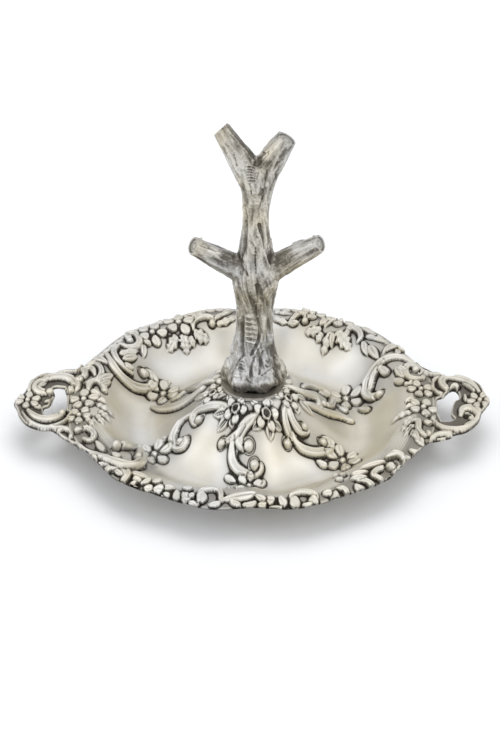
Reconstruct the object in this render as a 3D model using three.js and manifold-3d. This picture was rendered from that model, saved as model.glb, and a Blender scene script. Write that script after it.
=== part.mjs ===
// Ring tree in silver: a die-stamped oval tray on a flat resting ring, its domed middle carrying
// a hollow cast tree with four sawn branches, and a pierced scroll handle at each end.
// Millimetres, +Z up. The handles lie along X, the tree's branches spread along X, and the
// origin is on the table under the middle of the tray.

import * as THREE from 'three';
import { mergeVertices } from 'three/addons/utils/BufferGeometryUtils.js';
import Module from 'manifold-3d';

const wasm = await Module();
wasm.setup();

// Tray
const trayHalfLength = 40.3; // middle to rim along X, without the handles
const trayHalfWidth = 38.2; // middle to rim along Y
const sheetThickness = 0.6;
const domeHeight = 13.5; // table to the flat seat under the tree
const seatRadius = 8.2; // flat top of the dome
const crestHeight = 8.6; // table to the crest of the border
const scallopDepth = 0.35; // in and out of the wavy rim line
const scallopCount = 12;
const rimDip = 0.7; // dip of the rim line in the middle of each long side
const trayFacets = 48;
const spokeCount = 6;
const panelDepth = 0.9; // how far the dome is drawn in between two spokes

// Handles
const handleReach = 12; // rim to tip
const handleHalfSpan = 11;
const handleRise = 0.9; // how much higher the tip is than the root
const handleOverlap = 4.5; // how far a handle's plate runs in over the border

// Relief
const reliefHeight = 1.15; // crest of a scroll above the sheet
const reliefRoot = 0.3; // how deep a relief form is set into the sheet
const scrollWidth = 1.7;
const rimScrollWidth = 2.1;
const handleScrollWidth = 2.7;
const spokeFlowerSize = 3.8; // radius over the petals
const domeFlowerSize = 2.1;
const rimFlowerSize = 2.9;
const tipFlowerSize = 2.6;
const leafLength = 5.6;
const leafWidth = 3.2;

// Tree
const treeHeight = 56; // foot to the bottom of the fork
const footRadius = 6.95; // widest part of the root flare
const treeDepthShare = 0.92; // front to back against side to side
const treeWall = 0.75;
const branchWall = 0.42; // at the mouth of a sawn branch
const rootLobes = 6;
const rootLobeShare = 0.07; // how far the roots stand out at the foot
const barkLobes = 4;
const barkLobeShare = 0.035;
const trunkOffset = 0.45; // the trunk stands a little to the right of the middle
const treeSides = 16;
const branchSides = 12;
const knotDepth = 0.45;
const knotWidth = 1.1;
const knotLength = 4.4;

// Ring of solder under the foot
const solderHeight = 0.4;
const solderReach = 7.4; // outer radius
const solderBore = 5.1;

// Discs in the sawn ends
const discThickness = 0.6;
const discRecess = 0.25;
const discClearance = 0.2;

// Cutting tools run past what they cut by this much
const overrun = 2;

// Points nearer than this are one point
const weldDistance = 1e-4;

const tau = 2 * Math.PI;

// Solids

function toSolid(geometry) {
  const bare = geometry.clone();
  bare.deleteAttribute('normal');
  bare.deleteAttribute('uv');
  const merged = mergeVertices(bare, weldDistance);
  return new wasm.Manifold(new wasm.Mesh({
    numProp: 3,
    vertProperties: new Float32Array(merged.attributes.position.array),
    triVerts: new Uint32Array(merged.index.array),
  }));
}

function toGeometry(solid) {
  const mesh = solid.getMesh();
  const geometry = new THREE.BufferGeometry();
  geometry.setAttribute('position', new THREE.BufferAttribute(new Float32Array(mesh.vertProperties), 3));
  geometry.setIndex(new THREE.BufferAttribute(new Uint32Array(mesh.triVerts), 1));
  geometry.computeVertexNormals();
  return geometry;
}

function joinAll(solids) {
  // pairs are joined first, so that each join works on small solids
  let level = solids;
  while (level.length > 1) {
    const next = [];
    for (let i = 0; i < level.length; i += 2) {
      next.push(i + 1 < level.length ? level[i].add(level[i + 1]) : level[i]);
    }
    level = next;
  }
  return level[0];
}

// Fills the pockets shut in between a relief form and the sheet that it bridges
function withoutPockets(solid) {
  return joinAll(solid.decompose().filter((part) => part.volume() > 0));
}

// A closed skin through rings of points, with a flat fan over each end.
function loft(rings) {
  const sides = rings[0].length;
  const points = rings.flat();
  const middle = (ring) => ring.reduce((sum, p) => sum.add(p), new THREE.Vector3()).divideScalar(sides);
  const firstMiddle = points.push(middle(rings[0])) - 1;
  const lastMiddle = points.push(middle(rings[rings.length - 1])) - 1;
  const index = [];
  for (let row = 0; row < rings.length - 1; row++) {
    for (let side = 0; side < sides; side++) {
      const a = row * sides + side;
      const b = row * sides + (side + 1) % sides;
      index.push(a, b, b + sides, a, b + sides, a + sides);
    }
  }
  const lastRow = (rings.length - 1) * sides;
  for (let side = 0; side < sides; side++) {
    const following = (side + 1) % sides;
    index.push(firstMiddle, following, side);
    index.push(lastMiddle, lastRow + side, lastRow + following);
  }
  const geometry = new THREE.BufferGeometry().setFromPoints(points);
  geometry.setIndex(index);
  return signedVolume(geometry) < 0 ? flipped(geometry) : geometry;
}

function signedVolume(geometry) {
  const position = geometry.attributes.position;
  const corner = (i) => new THREE.Vector3().fromBufferAttribute(position, geometry.index.array[i]);
  let volume = 0;
  for (let i = 0; i < geometry.index.count; i += 3) {
    volume += corner(i).dot(corner(i + 1).cross(corner(i + 2)));
  }
  return volume;
}

function flipped(geometry) {
  const index = Array.from(geometry.index.array);
  for (let i = 0; i < index.length; i += 3) [index[i + 1], index[i + 2]] = [index[i + 2], index[i + 1]];
  geometry.setIndex(index);
  return geometry;
}

// Straight-line look-up in rows of [place, value]
function lookUp(rows, place) {
  const last = rows.length - 1;
  if (place >= rows[last][0]) return rows[last][1];
  const row = rows.findIndex((_, i) => place < rows[i + 1][0]);
  const [from, to] = [rows[row], rows[row + 1]];
  return THREE.MathUtils.mapLinear(place, from[0], to[0], from[1], to[1]);
}

// Tray form

function rimRadius(angle) {
  const oval = 1 / Math.hypot(Math.cos(angle) / trayHalfLength, Math.sin(angle) / trayHalfWidth);
  const dipWidthShare = 0.15; // of a radian
  const offSide = Math.abs(Math.cos(angle)) / dipWidthShare;
  return oval - scallopDepth * Math.cos(scallopCount * angle) - rimDip * Math.exp(-offSide * offSide);
}

// Rows of [share of the rim radius, share of the height named beside them], middle to rim
const domeFlankShare = [[0.25, 0.93], [0.3, 0.76], [0.37, 0.52], [0.46, 0.25]];
const wellShare = [0.565, 0.645];
const rimFlankShare = [[0.71, 0.44], [0.775, 0.84], [0.83, 1], [0.9, 1], [0.95, 0.94], [1, 0.86]];
const trayProfile = [
  [0, domeHeight],
  [seatRadius / trayHalfLength, domeHeight],
  ...domeFlankShare.map(([radiusShare, heightShare]) => [radiusShare, domeHeight * heightShare]),
  ...wellShare.map((radiusShare) => [radiusShare, sheetThickness]),
  ...rimFlankShare.map(([radiusShare, heightShare]) => [radiusShare, crestHeight * heightShare]),
];
const rimHeight = trayProfile[trayProfile.length - 1][1];

// The underside is plainer: it follows the centre, the well and every other row of the profile
const onUnderside = ([, height], row) => row === 0 || row % 2 === 1 || height === sheetThickness;

// The dome is drawn in between the spokes, most at the middle of its flank
function panelDrop(share, angle) {
  const flank = THREE.MathUtils.mapLinear(share, trayProfile[1][0], wellShare[0], 0, 1);
  if (flank <= 0 || flank >= 1) return 0;
  const betweenSpokes = (1 + Math.cos(spokeCount * angle)) / 2;
  return panelDepth * Math.sin(Math.PI * flank) * betweenSpokes;
}

function underside(row) {
  const slope = (a, b) => Math.abs((b[1] - a[1]) / ((b[0] - a[0]) * trayHalfWidth));
  const inner = row > 0 ? slope(trayProfile[row - 1], trayProfile[row]) : 0;
  const outer = row < trayProfile.length - 1 ? slope(trayProfile[row], trayProfile[row + 1]) : inner;
  return trayProfile[row][1] - sheetThickness * Math.hypot(1, Math.min(inner, outer));
}

function trayShell() {
  const top = trayProfile.map(([share, height]) => new THREE.Vector2(share * trayHalfWidth, height));
  const bottom = trayProfile.map(([share], row) => new THREE.Vector2(share * trayHalfWidth, underside(row)))
    .filter((_, row) => onUnderside(trayProfile[row], row));
  const geometry = new THREE.LatheGeometry([...bottom, ...top.reverse()], trayFacets);
  geometry.rotateX(Math.PI / 2);
  const position = geometry.attributes.position;
  for (let i = 0; i < position.count; i++) {
    const [x, y] = [position.getX(i), position.getY(i)];
    const angle = Math.atan2(y, x);
    const stretch = rimRadius(angle) / trayHalfWidth;
    const drop = panelDrop(Math.hypot(x, y) / trayHalfWidth, angle);
    position.setXYZ(i, x * stretch, y * stretch, position.getZ(i) - drop);
  }
  return toSolid(geometry);
}

// Height of the metal's top at a place: the tray's profile, and past the rim the handle's plate
function surfaceHeight(x, y) {
  const angle = Math.atan2(y, x);
  const share = Math.hypot(x, y) / rimRadius(angle);
  if (share <= 1) return lookUp(trayProfile, share) - panelDrop(share, angle);
  return rimHeight + handleRise * Math.max(0, Math.abs(x) - trayHalfLength) / handleReach;
}

function surfacePoint(x, y) {
  return new THREE.Vector3(x, y, surfaceHeight(x, y));
}

function surfaceNormal(x, y) {
  const probe = sheetThickness;
  const dx = surfaceHeight(x + probe, y) - surfaceHeight(x - probe, y);
  const dy = surfaceHeight(x, y + probe) - surfaceHeight(x, y - probe);
  return new THREE.Vector3(-dx, -dy, 2 * probe).normalize();
}

// Relief forms

// Section of a scroll above its root: [share of its half width, share of its height]
const scrollSectionShare = [[0.55, 0.85], [-0.55, 0.85]];

// Swelling of a scroll along its run, as [share of its run, share of its width]: it thickens
// towards the middle and ends in a round curl
const scrollSwellShare = [[0, 0.4], [0.25, 0.85], [0.5, 1], [0.7, 0.85], [0.82, 0.75], [0.92, 1.3], [1, 0.6]];

function scroll(places, { width = scrollWidth, height = reliefHeight } = {}) {
  const points = places.map(([x, y]) => surfacePoint(x, y));
  const curve = new THREE.CatmullRomCurve3(points, false, 'centripetal');
  const rings = [];
  for (const [t, swell] of scrollSwellShare) {
    const at = curve.getPointAt(t);
    const normal = surfaceNormal(at.x, at.y);
    const side = new THREE.Vector3().crossVectors(normal, curve.getTangentAt(t)).normalize();
    const foot = surfacePoint(at.x, at.y);
    const put = (across, upward) => (
      foot.clone().addScaledVector(side, across).addScaledVector(normal, upward));
    const halfWidth = swell * width / 2;
    rings.push([
      put(halfWidth, -reliefRoot),
      ...scrollSectionShare.map(([across, up]) => put(across * halfWidth, up * height * Math.sqrt(swell))),
      put(-halfWidth, -reliefRoot),
    ]);
  }
  return toSolid(loft(rings));
}

// Lays a form, made with +Y as its heading and +Z up, over the metal around x, y.
function drape(geometry, x, y, heading) {
  const normal = surfaceNormal(x, y);
  const position = geometry.rotateZ(heading - Math.PI / 2).attributes.position;
  for (let i = 0; i < position.count; i++) {
    const point = surfacePoint(x + position.getX(i), y + position.getY(i));
    point.addScaledVector(normal, position.getZ(i));
    position.setXYZ(i, point.x, point.y, point.z);
  }
  return toSolid(geometry);
}

function leaf(x, y, heading) {
  const leafHeightShare = 0.75;
  const blade = new THREE.SphereGeometry(1, 4, 3).rotateX(Math.PI / 2);
  blade.scale(leafWidth / 2, leafLength / 2, reliefHeight * leafHeightShare);
  const position = blade.attributes.position;
  for (let i = 0; i < position.count; i++) position.setZ(i, Math.max(position.getZ(i), -reliefRoot));
  return drape(blade, x, y, heading);
}

// Kinds of flower. The profile is [share of its radius, share of its height] from the middle out:
// an open flower has a hollow round its middle, and a bud is domed.
const openFlower = { profileShare: [[0, 1], [0.3, 0.5], [1, 0.55]], pointsPerPetal: 3 };
const budFlower = { profileShare: [[0, 1], [0.7, 0.75], [1, 0.2]], pointsPerPetal: 2 };
const petalGapShare = 0.62; // radius between two petals

function flower(x, y, size, { profileShare, pointsPerPetal }, turn = 0) {
  const petals = 5;
  const points = petals * pointsPerPetal;
  const rows = profileShare.map(([out, up]) => new THREE.Vector2(out * size, up * reliefHeight));
  const base = [0, size].map((out) => new THREE.Vector2(out, -reliefRoot));
  const profile = [...base, ...rows.reverse()];
  const geometry = new THREE.LatheGeometry(profile, points).rotateX(Math.PI / 2);
  const position = geometry.attributes.position;
  for (let i = 0; i < position.count; i++) {
    const [px, py] = [position.getX(i), position.getY(i)];
    const place = Math.round((Math.atan2(px, -py) / tau + 1) * points);
    if (Math.hypot(px, py) < size * petalGapShare || place % pointsPerPetal) continue;
    position.setXY(i, px * petalGapShare, py * petalGapShare);
  }
  return drape(geometry, x, y, turn);
}

// Layout. Places on the tray are [x, y] as shares of half its width.
const onTray = (places) => places.map(([x, y]) => [x * trayHalfWidth, y * trayHalfWidth]);

// Scrolls of the spokes that run from the foot of the tree to the border
const frontSpokeShare = {
  sweep: [[0.08, -0.25], [-0.05, -0.28], [-0.11, -0.32], [-0.17, -0.33]],
  inner: [[-0.08, -0.3], [-0.07, -0.35], [-0.03, -0.37], [0.02, -0.35]],
  outer: [[-0.11, -0.34], [-0.12, -0.4], [-0.08, -0.46], [-0.03, -0.49], [0.03, -0.48], [0.04, -0.45]],
};
const leftFrontSpokeShare = {
  stem: [[-0.14, -0.19], [-0.24, -0.14], [-0.33, -0.11]],
  bud: [[-0.33, -0.11], [-0.33, -0.15], [-0.3, -0.18]],
  outer: [[-0.33, -0.11], [-0.38, -0.07], [-0.44, -0.09], [-0.47, -0.15], [-0.46, -0.22], [-0.41, -0.26],
    [-0.38, -0.23]],
};
const rightFrontSpokeShare = {
  stem: [[0.19, -0.16], [0.19, -0.24], [0.23, -0.3], [0.19, -0.34]],
  inner: [[0.2, -0.19], [0.22, -0.24], [0.27, -0.25], [0.31, -0.21]],
  outer: [[0.24, -0.28], [0.32, -0.32], [0.39, -0.3], [0.45, -0.24], [0.43, -0.18], [0.4, -0.2]],
};
const leftBackSpokeShare = { ridge: [[-0.21, 0.08], [-0.34, 0.17], [-0.44, 0.24]] };
const rightBackSpokeShare = { ridge: [[0.21, 0.08], [0.34, 0.14], [0.46, 0.2]] };

// Flowers of the spokes and of the dome
const spokeFlowerShare = [[0, -0.59], [-0.55, -0.28], [0.51, -0.32], [-0.52, 0.32], [0.55, 0.27], [0, 0.59]];
const domeFlowerShare = [[-0.23, -0.12], [-0.1, -0.25], [0.09, -0.26], [0.235, -0.13], [0.1, 0.25],
  [-0.1, 0.25]];

// Half of the border, as [share of a full turn, share of the rim radius]; the other half is
// the same, turned by half a turn about the middle.
const rimScrollShare = [
  [[0.035, 0.74], [0.02, 0.78], [0.035, 0.84], [0.06, 0.9], [0.085, 0.95]],
  [[0.115, 0.96], [0.1, 0.95], [0.095, 0.88], [0.105, 0.84]],
  [[0.14, 0.86], [0.125, 0.86], [0.12, 0.93], [0.13, 0.96]],
  [[0.225, 0.95], [0.21, 0.95], [0.205, 0.88], [0.215, 0.85]],
  [[0.255, 0.9], [0.265, 0.94], [0.28, 0.93], [0.285, 0.87]],
  [[0.31, 0.86], [0.3, 0.88], [0.292, 0.94], [0.302, 0.96]],
  [[0.4, 0.9], [0.395, 0.95], [0.38, 0.95], [0.375, 0.9]],
  [[0.415, 0.96], [0.425, 0.9], [0.434, 0.82], [0.43, 0.75], [0.415, 0.72]],
  [[0.445, 0.96], [0.45, 0.91], [0.46, 0.88], [0.47, 0.91]],
];
const rimFlowerShare = [[0.157, 0.92], [0.19, 0.92], [0.328, 0.92], [0.357, 0.9], [0.488, 0.9],
  [0.015, 0.9]];
const rimLeafShare = [[0.097, 0.8], [0.155, 0.79], [0.245, 0.9], [0.333, 0.79], [0.478, 0.84],
  [0.99, 0.85]];

function atRim([turnShare, radiusShare], halfTurn) {
  const angle = (turnShare + halfTurn / 2) * tau;
  const radius = radiusShare * rimRadius(angle);
  return [radius * Math.cos(angle), radius * Math.sin(angle)];
}

function spokeRelief() {
  const spokes = [frontSpokeShare, leftFrontSpokeShare, rightFrontSpokeShare, leftBackSpokeShare,
    rightBackSpokeShare];
  const solids = spokes.flatMap((spoke) => Object.values(spoke).map((places) => scroll(onTray(places))));
  // the spoke behind the tree is the front one turned by half a turn
  const behind = Object.values(frontSpokeShare).map((places) => places.map(([x, y]) => [-x, -y]));
  solids.push(...behind.map((places) => scroll(onTray(places))));
  solids.push(...onTray(spokeFlowerShare).map(([x, y]) => flower(x, y, spokeFlowerSize, openFlower)));
  solids.push(...onTray(domeFlowerShare).map(([x, y]) => flower(x, y, domeFlowerSize, budFlower)));
  return solids;
}

function rimRelief(halfTurn) {
  const solids = rimScrollShare.map((places) => (
    scroll(places.map((place) => atRim(place, halfTurn)), { width: rimScrollWidth })));
  for (const place of rimFlowerShare) {
    const [x, y] = atRim(place, halfTurn);
    solids.push(flower(x, y, rimFlowerSize, budFlower, Math.atan2(y, x)));
  }
  for (const place of rimLeafShare) {
    const [x, y] = atRim(place, halfTurn);
    solids.push(leaf(x, y, Math.atan2(y, x)));
  }
  return solids;
}

// Handle outline and hole, as [share of the reach, share of the half span], for the right handle
const handleOutlineShare = [[-0.19, 1.3], [0.04, 1.09], [0.22, 0.9], [0.43, 0.88], [0.69, 0.75],
  [0.84, 0.5], [0.91, 0.25], [0.98, 0.05], [0.91, -0.15], [0.81, -0.35], [0.73, -0.65], [0.52, -0.93],
  [0.27, -1.02], [0.19, -1.12], [-0.15, -1.25]];
const handleHoleShare = [[0.08, -0.58], [0.01, -0.32], [0, 0], [0, 0.22], [0.12, 0.33], [0.22, 0.44],
  [0.32, 0.48], [0.41, 0.38], [0.42, 0.16], [0.37, 0.04], [0.36, -0.15], [0.3, -0.36], [0.29, -0.51],
  [0.2, -0.59]];
const handleScrolls = [
  { widthShare: 1, pathShare: [[0, -0.8], [0.1, -0.82], [0.37, -0.75], [0.54, -0.56], [0.56, -0.41],
    [0.47, -0.33]] },
  { widthShare: 0.57, pathShare: [[0.22, -0.94], [0.5, -0.87], [0.7, -0.62], [0.76, -0.3]] },
  { widthShare: 0.57, pathShare: [[0.8, 0.2], [0.76, 0.48], [0.6, 0.7], [0.35, 0.78], [0.13, 0.68], [0, 0.5],
    [-0.03, 0.36]] },
  { widthShare: 0.41, pathShare: [[0.69, 0.33], [0.58, 0.54], [0.4, 0.6], [0.24, 0.55]] },
  { widthShare: 0.57, pathShare: [[-0.15, 1.05], [0.02, 0.98], [0.15, 0.88]] },
];

function handleSolids(sign) {
  const place = ([reachShare, spanShare]) => [
    sign * (trayHalfLength + reachShare * handleReach), sign * spanShare * handleHalfSpan];
  const asPoints = (shares) => shares.map((share) => new THREE.Vector2(...place(share)));
  const outline = asPoints(handleOutlineShare);
  const inner = [-1, 1].map((end) => new THREE.Vector2(
    sign * (trayHalfLength - handleOverlap), sign * end * handleHalfSpan));
  const shape = new THREE.Shape();
  shape.moveTo(outline[0].x, outline[0].y);
  shape.splineThru(outline.slice(1));
  inner.forEach((p) => shape.lineTo(p.x, p.y));
  const hole = asPoints(handleHoleShare).reverse(); // a hole runs the other way round than its outline
  const opening = new THREE.Path();
  opening.moveTo(hole[0].x, hole[0].y);
  opening.splineThru([...hole.slice(1), hole[0]]);
  shape.holes.push(opening);
  const settings = { depth: sheetThickness, bevelEnabled: false, curveSegments: 2 };
  const plate = new THREE.ExtrudeGeometry(shape, settings);
  const position = plate.attributes.position;
  for (let i = 0; i < position.count; i++) {
    const rise = handleRise * (Math.abs(position.getX(i)) - trayHalfLength) / handleReach;
    position.setZ(i, position.getZ(i) - sheetThickness + rimHeight + rise);
  }
  const scrolls = handleScrolls.map(({ widthShare, pathShare }) => (
    scroll(pathShare.map(place), { width: widthShare * handleScrollWidth })));
  const tipShare = [0.77, 0];
  return [toSolid(plate), ...scrolls, flower(...place(tipShare), tipFlowerSize, openFlower)];
}

function trayGeometry() {
  const relief = [...spokeRelief(), ...[0, 1].flatMap(rimRelief), ...[-1, 1].flatMap(handleSolids)];
  return toGeometry(withoutPockets(joinAll([trayShell(), ...relief])));
}

// Tree. Heights count from the tree's foot.

// Rows of [share of the tree's height, share of the foot's radius]
const trunkShare = [[0, 0.85], [0.018, 0.95], [0.04, 1], [0.06, 0.93], [0.107, 0.75], [0.16, 0.65],
  [0.25, 0.56], [0.35, 0.54], [0.43, 0.62], [0.484, 0.7], [0.54, 0.62], [0.59, 0.5], [0.645, 0.43],
  [0.75, 0.385], [0.84, 0.43], [0.91, 0.52], [0.96, 0.46], [0.985, 0.33]];

// Branches in the plane of the branches: root and tip are [x as a share of the foot's radius,
// height as a share of the tree's height]; cutLean turns the sawn face, + away from the front.
// Each is a cone, and the wide roots of the lower pair make the flare below their fork.
const branchRadius = 1.86;
const branches = {
  upper_left: {
    rootShare: [-0.06, 0.9], tipShare: [-1, 1.122], rootSwell: 1.85, tipSwell: 1, cutLean: 0.5,
  },
  upper_right: {
    rootShare: [0.1, 0.92], tipShare: [0.97, 1.08], rootSwell: 1.85, tipSwell: 1.12, cutLean: 0,
  },
  lower_left: {
    rootShare: [-0.17, 0.49], tipShare: [-1.85, 0.618], rootSwell: 2.3, tipSwell: 1, cutLean: -0.3,
  },
  lower_right: {
    rootShare: [0.17, 0.48], tipShare: [2, 0.628], rootSwell: 2.35, tipSwell: 1, cutLean: -0.3,
  },
};

const hollowShare = trunkShare.filter((_, row) => row % 2 === 0 || row === trunkShare.length - 1);

const inTreePlane = ([across, up]) => new THREE.Vector3(across * footRadius, 0, up * treeHeight);

function ring(centre, across, depth, sides, radiusAt) {
  return Array.from({ length: sides }, (_, i) => {
    const angle = tau * i / sides;
    const radius = radiusAt(angle);
    return centre.clone()
      .addScaledVector(across, radius * Math.cos(angle))
      .addScaledVector(depth, radius * Math.sin(angle));
  });
}

const sideways = new THREE.Vector3(1, 0, 0);
const backwards = new THREE.Vector3(0, 1, 0);

function trunk(inset, sides) {
  const twist = 2.4; // radians over the tree's height
  const rows = inset ? hollowShare : trunkShare;
  const rings = rows.map(([up, out], row) => {
    const last = row === rows.length - 1;
    // the hollow runs out through the foot and stops one wall below the fork
    const drop = inset && row === 0 ? -overrun : last ? -inset : 0;
    const centre = new THREE.Vector3(0, 0, up * treeHeight + drop);
    const footness = Math.max(0, 1 - up / trunkShare[5][0]);
    return ring(centre, sideways, backwards.clone().multiplyScalar(treeDepthShare), sides, (angle) => {
      if (inset) return Math.max(out * footRadius - inset, inset);
      const roots = rootLobeShare * footness * Math.cos(rootLobes * angle);
      const bark = barkLobeShare * Math.cos(barkLobes * angle + twist * up);
      return out * footRadius * (1 + roots + bark);
    });
  });
  return toSolid(loft(rings));
}

function branch({ rootShare, tipShare, rootSwell, tipSwell }, inset) {
  const root = inTreePlane(rootShare);
  const tip = inTreePlane(tipShare);
  const axis = tip.clone().sub(root).normalize();
  const across = new THREE.Vector3().crossVectors(backwards, axis);
  const at = (centre, swell) => (
    ring(centre, across, backwards, branchSides, () => branchRadius * swell - inset));
  const beyond = tip.clone().addScaledVector(axis, overrun);
  return toSolid(loft([at(root, rootSwell), at(tip, tipSwell), at(beyond, tipSwell)]));
}

// A block whose near face is the sawn plane of a branch, moved in by depth along the cut
function sawBlock({ rootShare, tipShare, cutLean }, depth, thickness) {
  const tip = inTreePlane(tipShare);
  const axis = tip.clone().sub(inTreePlane(rootShare)).normalize();
  const normal = axis.addScaledVector(backwards, cutLean).normalize();
  const size = 4 * branchRadius + overrun;
  const block = new THREE.BoxGeometry(size, size, thickness).translate(0, 0, thickness / 2 - depth);
  const turn = new THREE.Quaternion().setFromUnitVectors(new THREE.Vector3(0, 0, 1), normal);
  return toSolid(block.applyQuaternion(turn).translate(tip.x, tip.y, tip.z));
}

// Teardrop hollows in the bark of the front: [x, height] as shares, as for the branches
const knotShare = [[0.12, 0.69], [0.02, 0.45]];

function knot([across, up]) {
  const front = -lookUp(trunkShare, up) * footRadius * treeDepthShare;
  const drop = new THREE.SphereGeometry(1, 8, 6).scale(knotWidth / 2, knotDepth, knotLength / 2);
  return toSolid(drop.translate(across * footRadius, front, up * treeHeight));
}

function treeBody() {
  const all = Object.values(branches);
  const outside = joinAll([trunk(0, treeSides), ...all.map((b) => branch(b, 0))]);
  const hollow = joinAll([trunk(treeWall, branchSides), ...all.map((b) => branch(b, branchWall))]);
  const sawn = all.reduce((solid, b) => solid.subtract(sawBlock(b, 0, treeHeight / 2)), outside);
  return knotShare.reduce((solid, place) => solid.subtract(knot(place)), sawn.subtract(hollow));
}

function halfSpace(side) {
  const size = 4 * treeHeight;
  return toSolid(new THREE.BoxGeometry(size, size, size).translate(0, side * size / 2, 0));
}

function endDisc(form) {
  const core = branch(form, branchWall + discClearance);
  return toGeometry(core.intersect(sawBlock(form, discRecess + discThickness, discThickness)));
}

function solderGeometry() {
  const crownShare = 0.45;
  const profile = [
    [solderBore, 0], [solderReach, 0], [solderReach - solderHeight, solderHeight * crownShare],
    [footRadius, solderHeight], [solderBore, solderHeight], [solderBore, 0],
  ].map(([radius, height]) => new THREE.Vector2(radius, height));
  return new THREE.LatheGeometry(profile, 2 * branchSides).rotateX(Math.PI / 2);
}

// Materials
const silver = new THREE.MeshStandardMaterial({ color: 0xcfccc4, roughness: 0.22, metalness: 1 });
const darkSilver = new THREE.MeshStandardMaterial({ color: 0x9a978f, roughness: 0.38, metalness: 1 });
const solder = new THREE.MeshStandardMaterial({ color: 0x8a8780, roughness: 0.5, metalness: 1 });

function named(name, geometry, material) {
  const mesh = new THREE.Mesh(geometry, material);
  mesh.name = name;
  return mesh;
}

// Assembly
const ringTree = new THREE.Group();
ringTree.add(named('tray', trayGeometry(), silver));

const solderRing = named('foot_solder_ring', solderGeometry(), solder);
solderRing.position.set(trunkOffset, 0, domeHeight);
ringTree.add(solderRing);

const tree = new THREE.Group();
tree.position.set(trunkOffset, 0, domeHeight + solderHeight);
const body = treeBody();
tree.add(named('tree_front_half', toGeometry(body.intersect(halfSpace(-1))), darkSilver));
tree.add(named('tree_back_half', toGeometry(body.intersect(halfSpace(1))), darkSilver));
for (const [name, form] of Object.entries(branches)) {
  tree.add(named(`${name}_branch_end`, endDisc(form), silver));
}
ringTree.add(tree);

export default ringTree;
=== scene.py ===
import math

import bmesh
import bpy
import numpy as np
from mathutils import Matrix, Vector, noise


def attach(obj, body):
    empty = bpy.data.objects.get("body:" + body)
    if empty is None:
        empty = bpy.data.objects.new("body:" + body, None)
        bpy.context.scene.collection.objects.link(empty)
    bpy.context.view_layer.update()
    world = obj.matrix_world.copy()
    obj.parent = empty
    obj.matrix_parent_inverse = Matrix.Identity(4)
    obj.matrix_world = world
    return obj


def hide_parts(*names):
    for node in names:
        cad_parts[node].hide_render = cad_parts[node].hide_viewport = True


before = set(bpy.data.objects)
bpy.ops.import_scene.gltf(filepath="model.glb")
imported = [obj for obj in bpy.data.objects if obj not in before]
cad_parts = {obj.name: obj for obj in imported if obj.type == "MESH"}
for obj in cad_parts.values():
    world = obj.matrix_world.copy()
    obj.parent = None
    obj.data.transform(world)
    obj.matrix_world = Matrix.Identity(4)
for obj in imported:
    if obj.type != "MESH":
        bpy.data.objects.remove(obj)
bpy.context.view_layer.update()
print("frame loaded")

scene = bpy.context.scene
scene.view_settings.view_transform = "Standard"

camera = {
    "elevation": 35.5,      # degrees above the table
    "distance": 650,
    "target": (0, 0, 7),
    "focal": 2970.5,        # in pixels of the picture
    "imageSize": (500, 750),
    "targetPixel": (252, 406),
    "sensorWidth": 36,
}

light = {
    # the key lights the floor and casts the shadow, and the metal doesn't mirror it
    "keyPlace": (20, 170, 560), "keySize": 460, "keyPower": 1.25,
    "fillPlace": (-420, -160, 280), "fillSize": 460, "fillPower": 0.24,
    "sidePlace": (260, -240, 460), "sideSize": 420, "sidePower": 0.16,
    "skyTilt": (0.1, -0.38, 0.92),      # the sky changes along this direction
    "sky": [(0.0, 0.6), (0.15, 0.88), (0.4, 0.8), (0.7, 0.86), (0.95, 1.0)],    # how far along, brightness
    "skyBlue": 1.01,
    "floorColour": (0.86, 0.87, 0.885), "floorSize": 3000,
}

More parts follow.
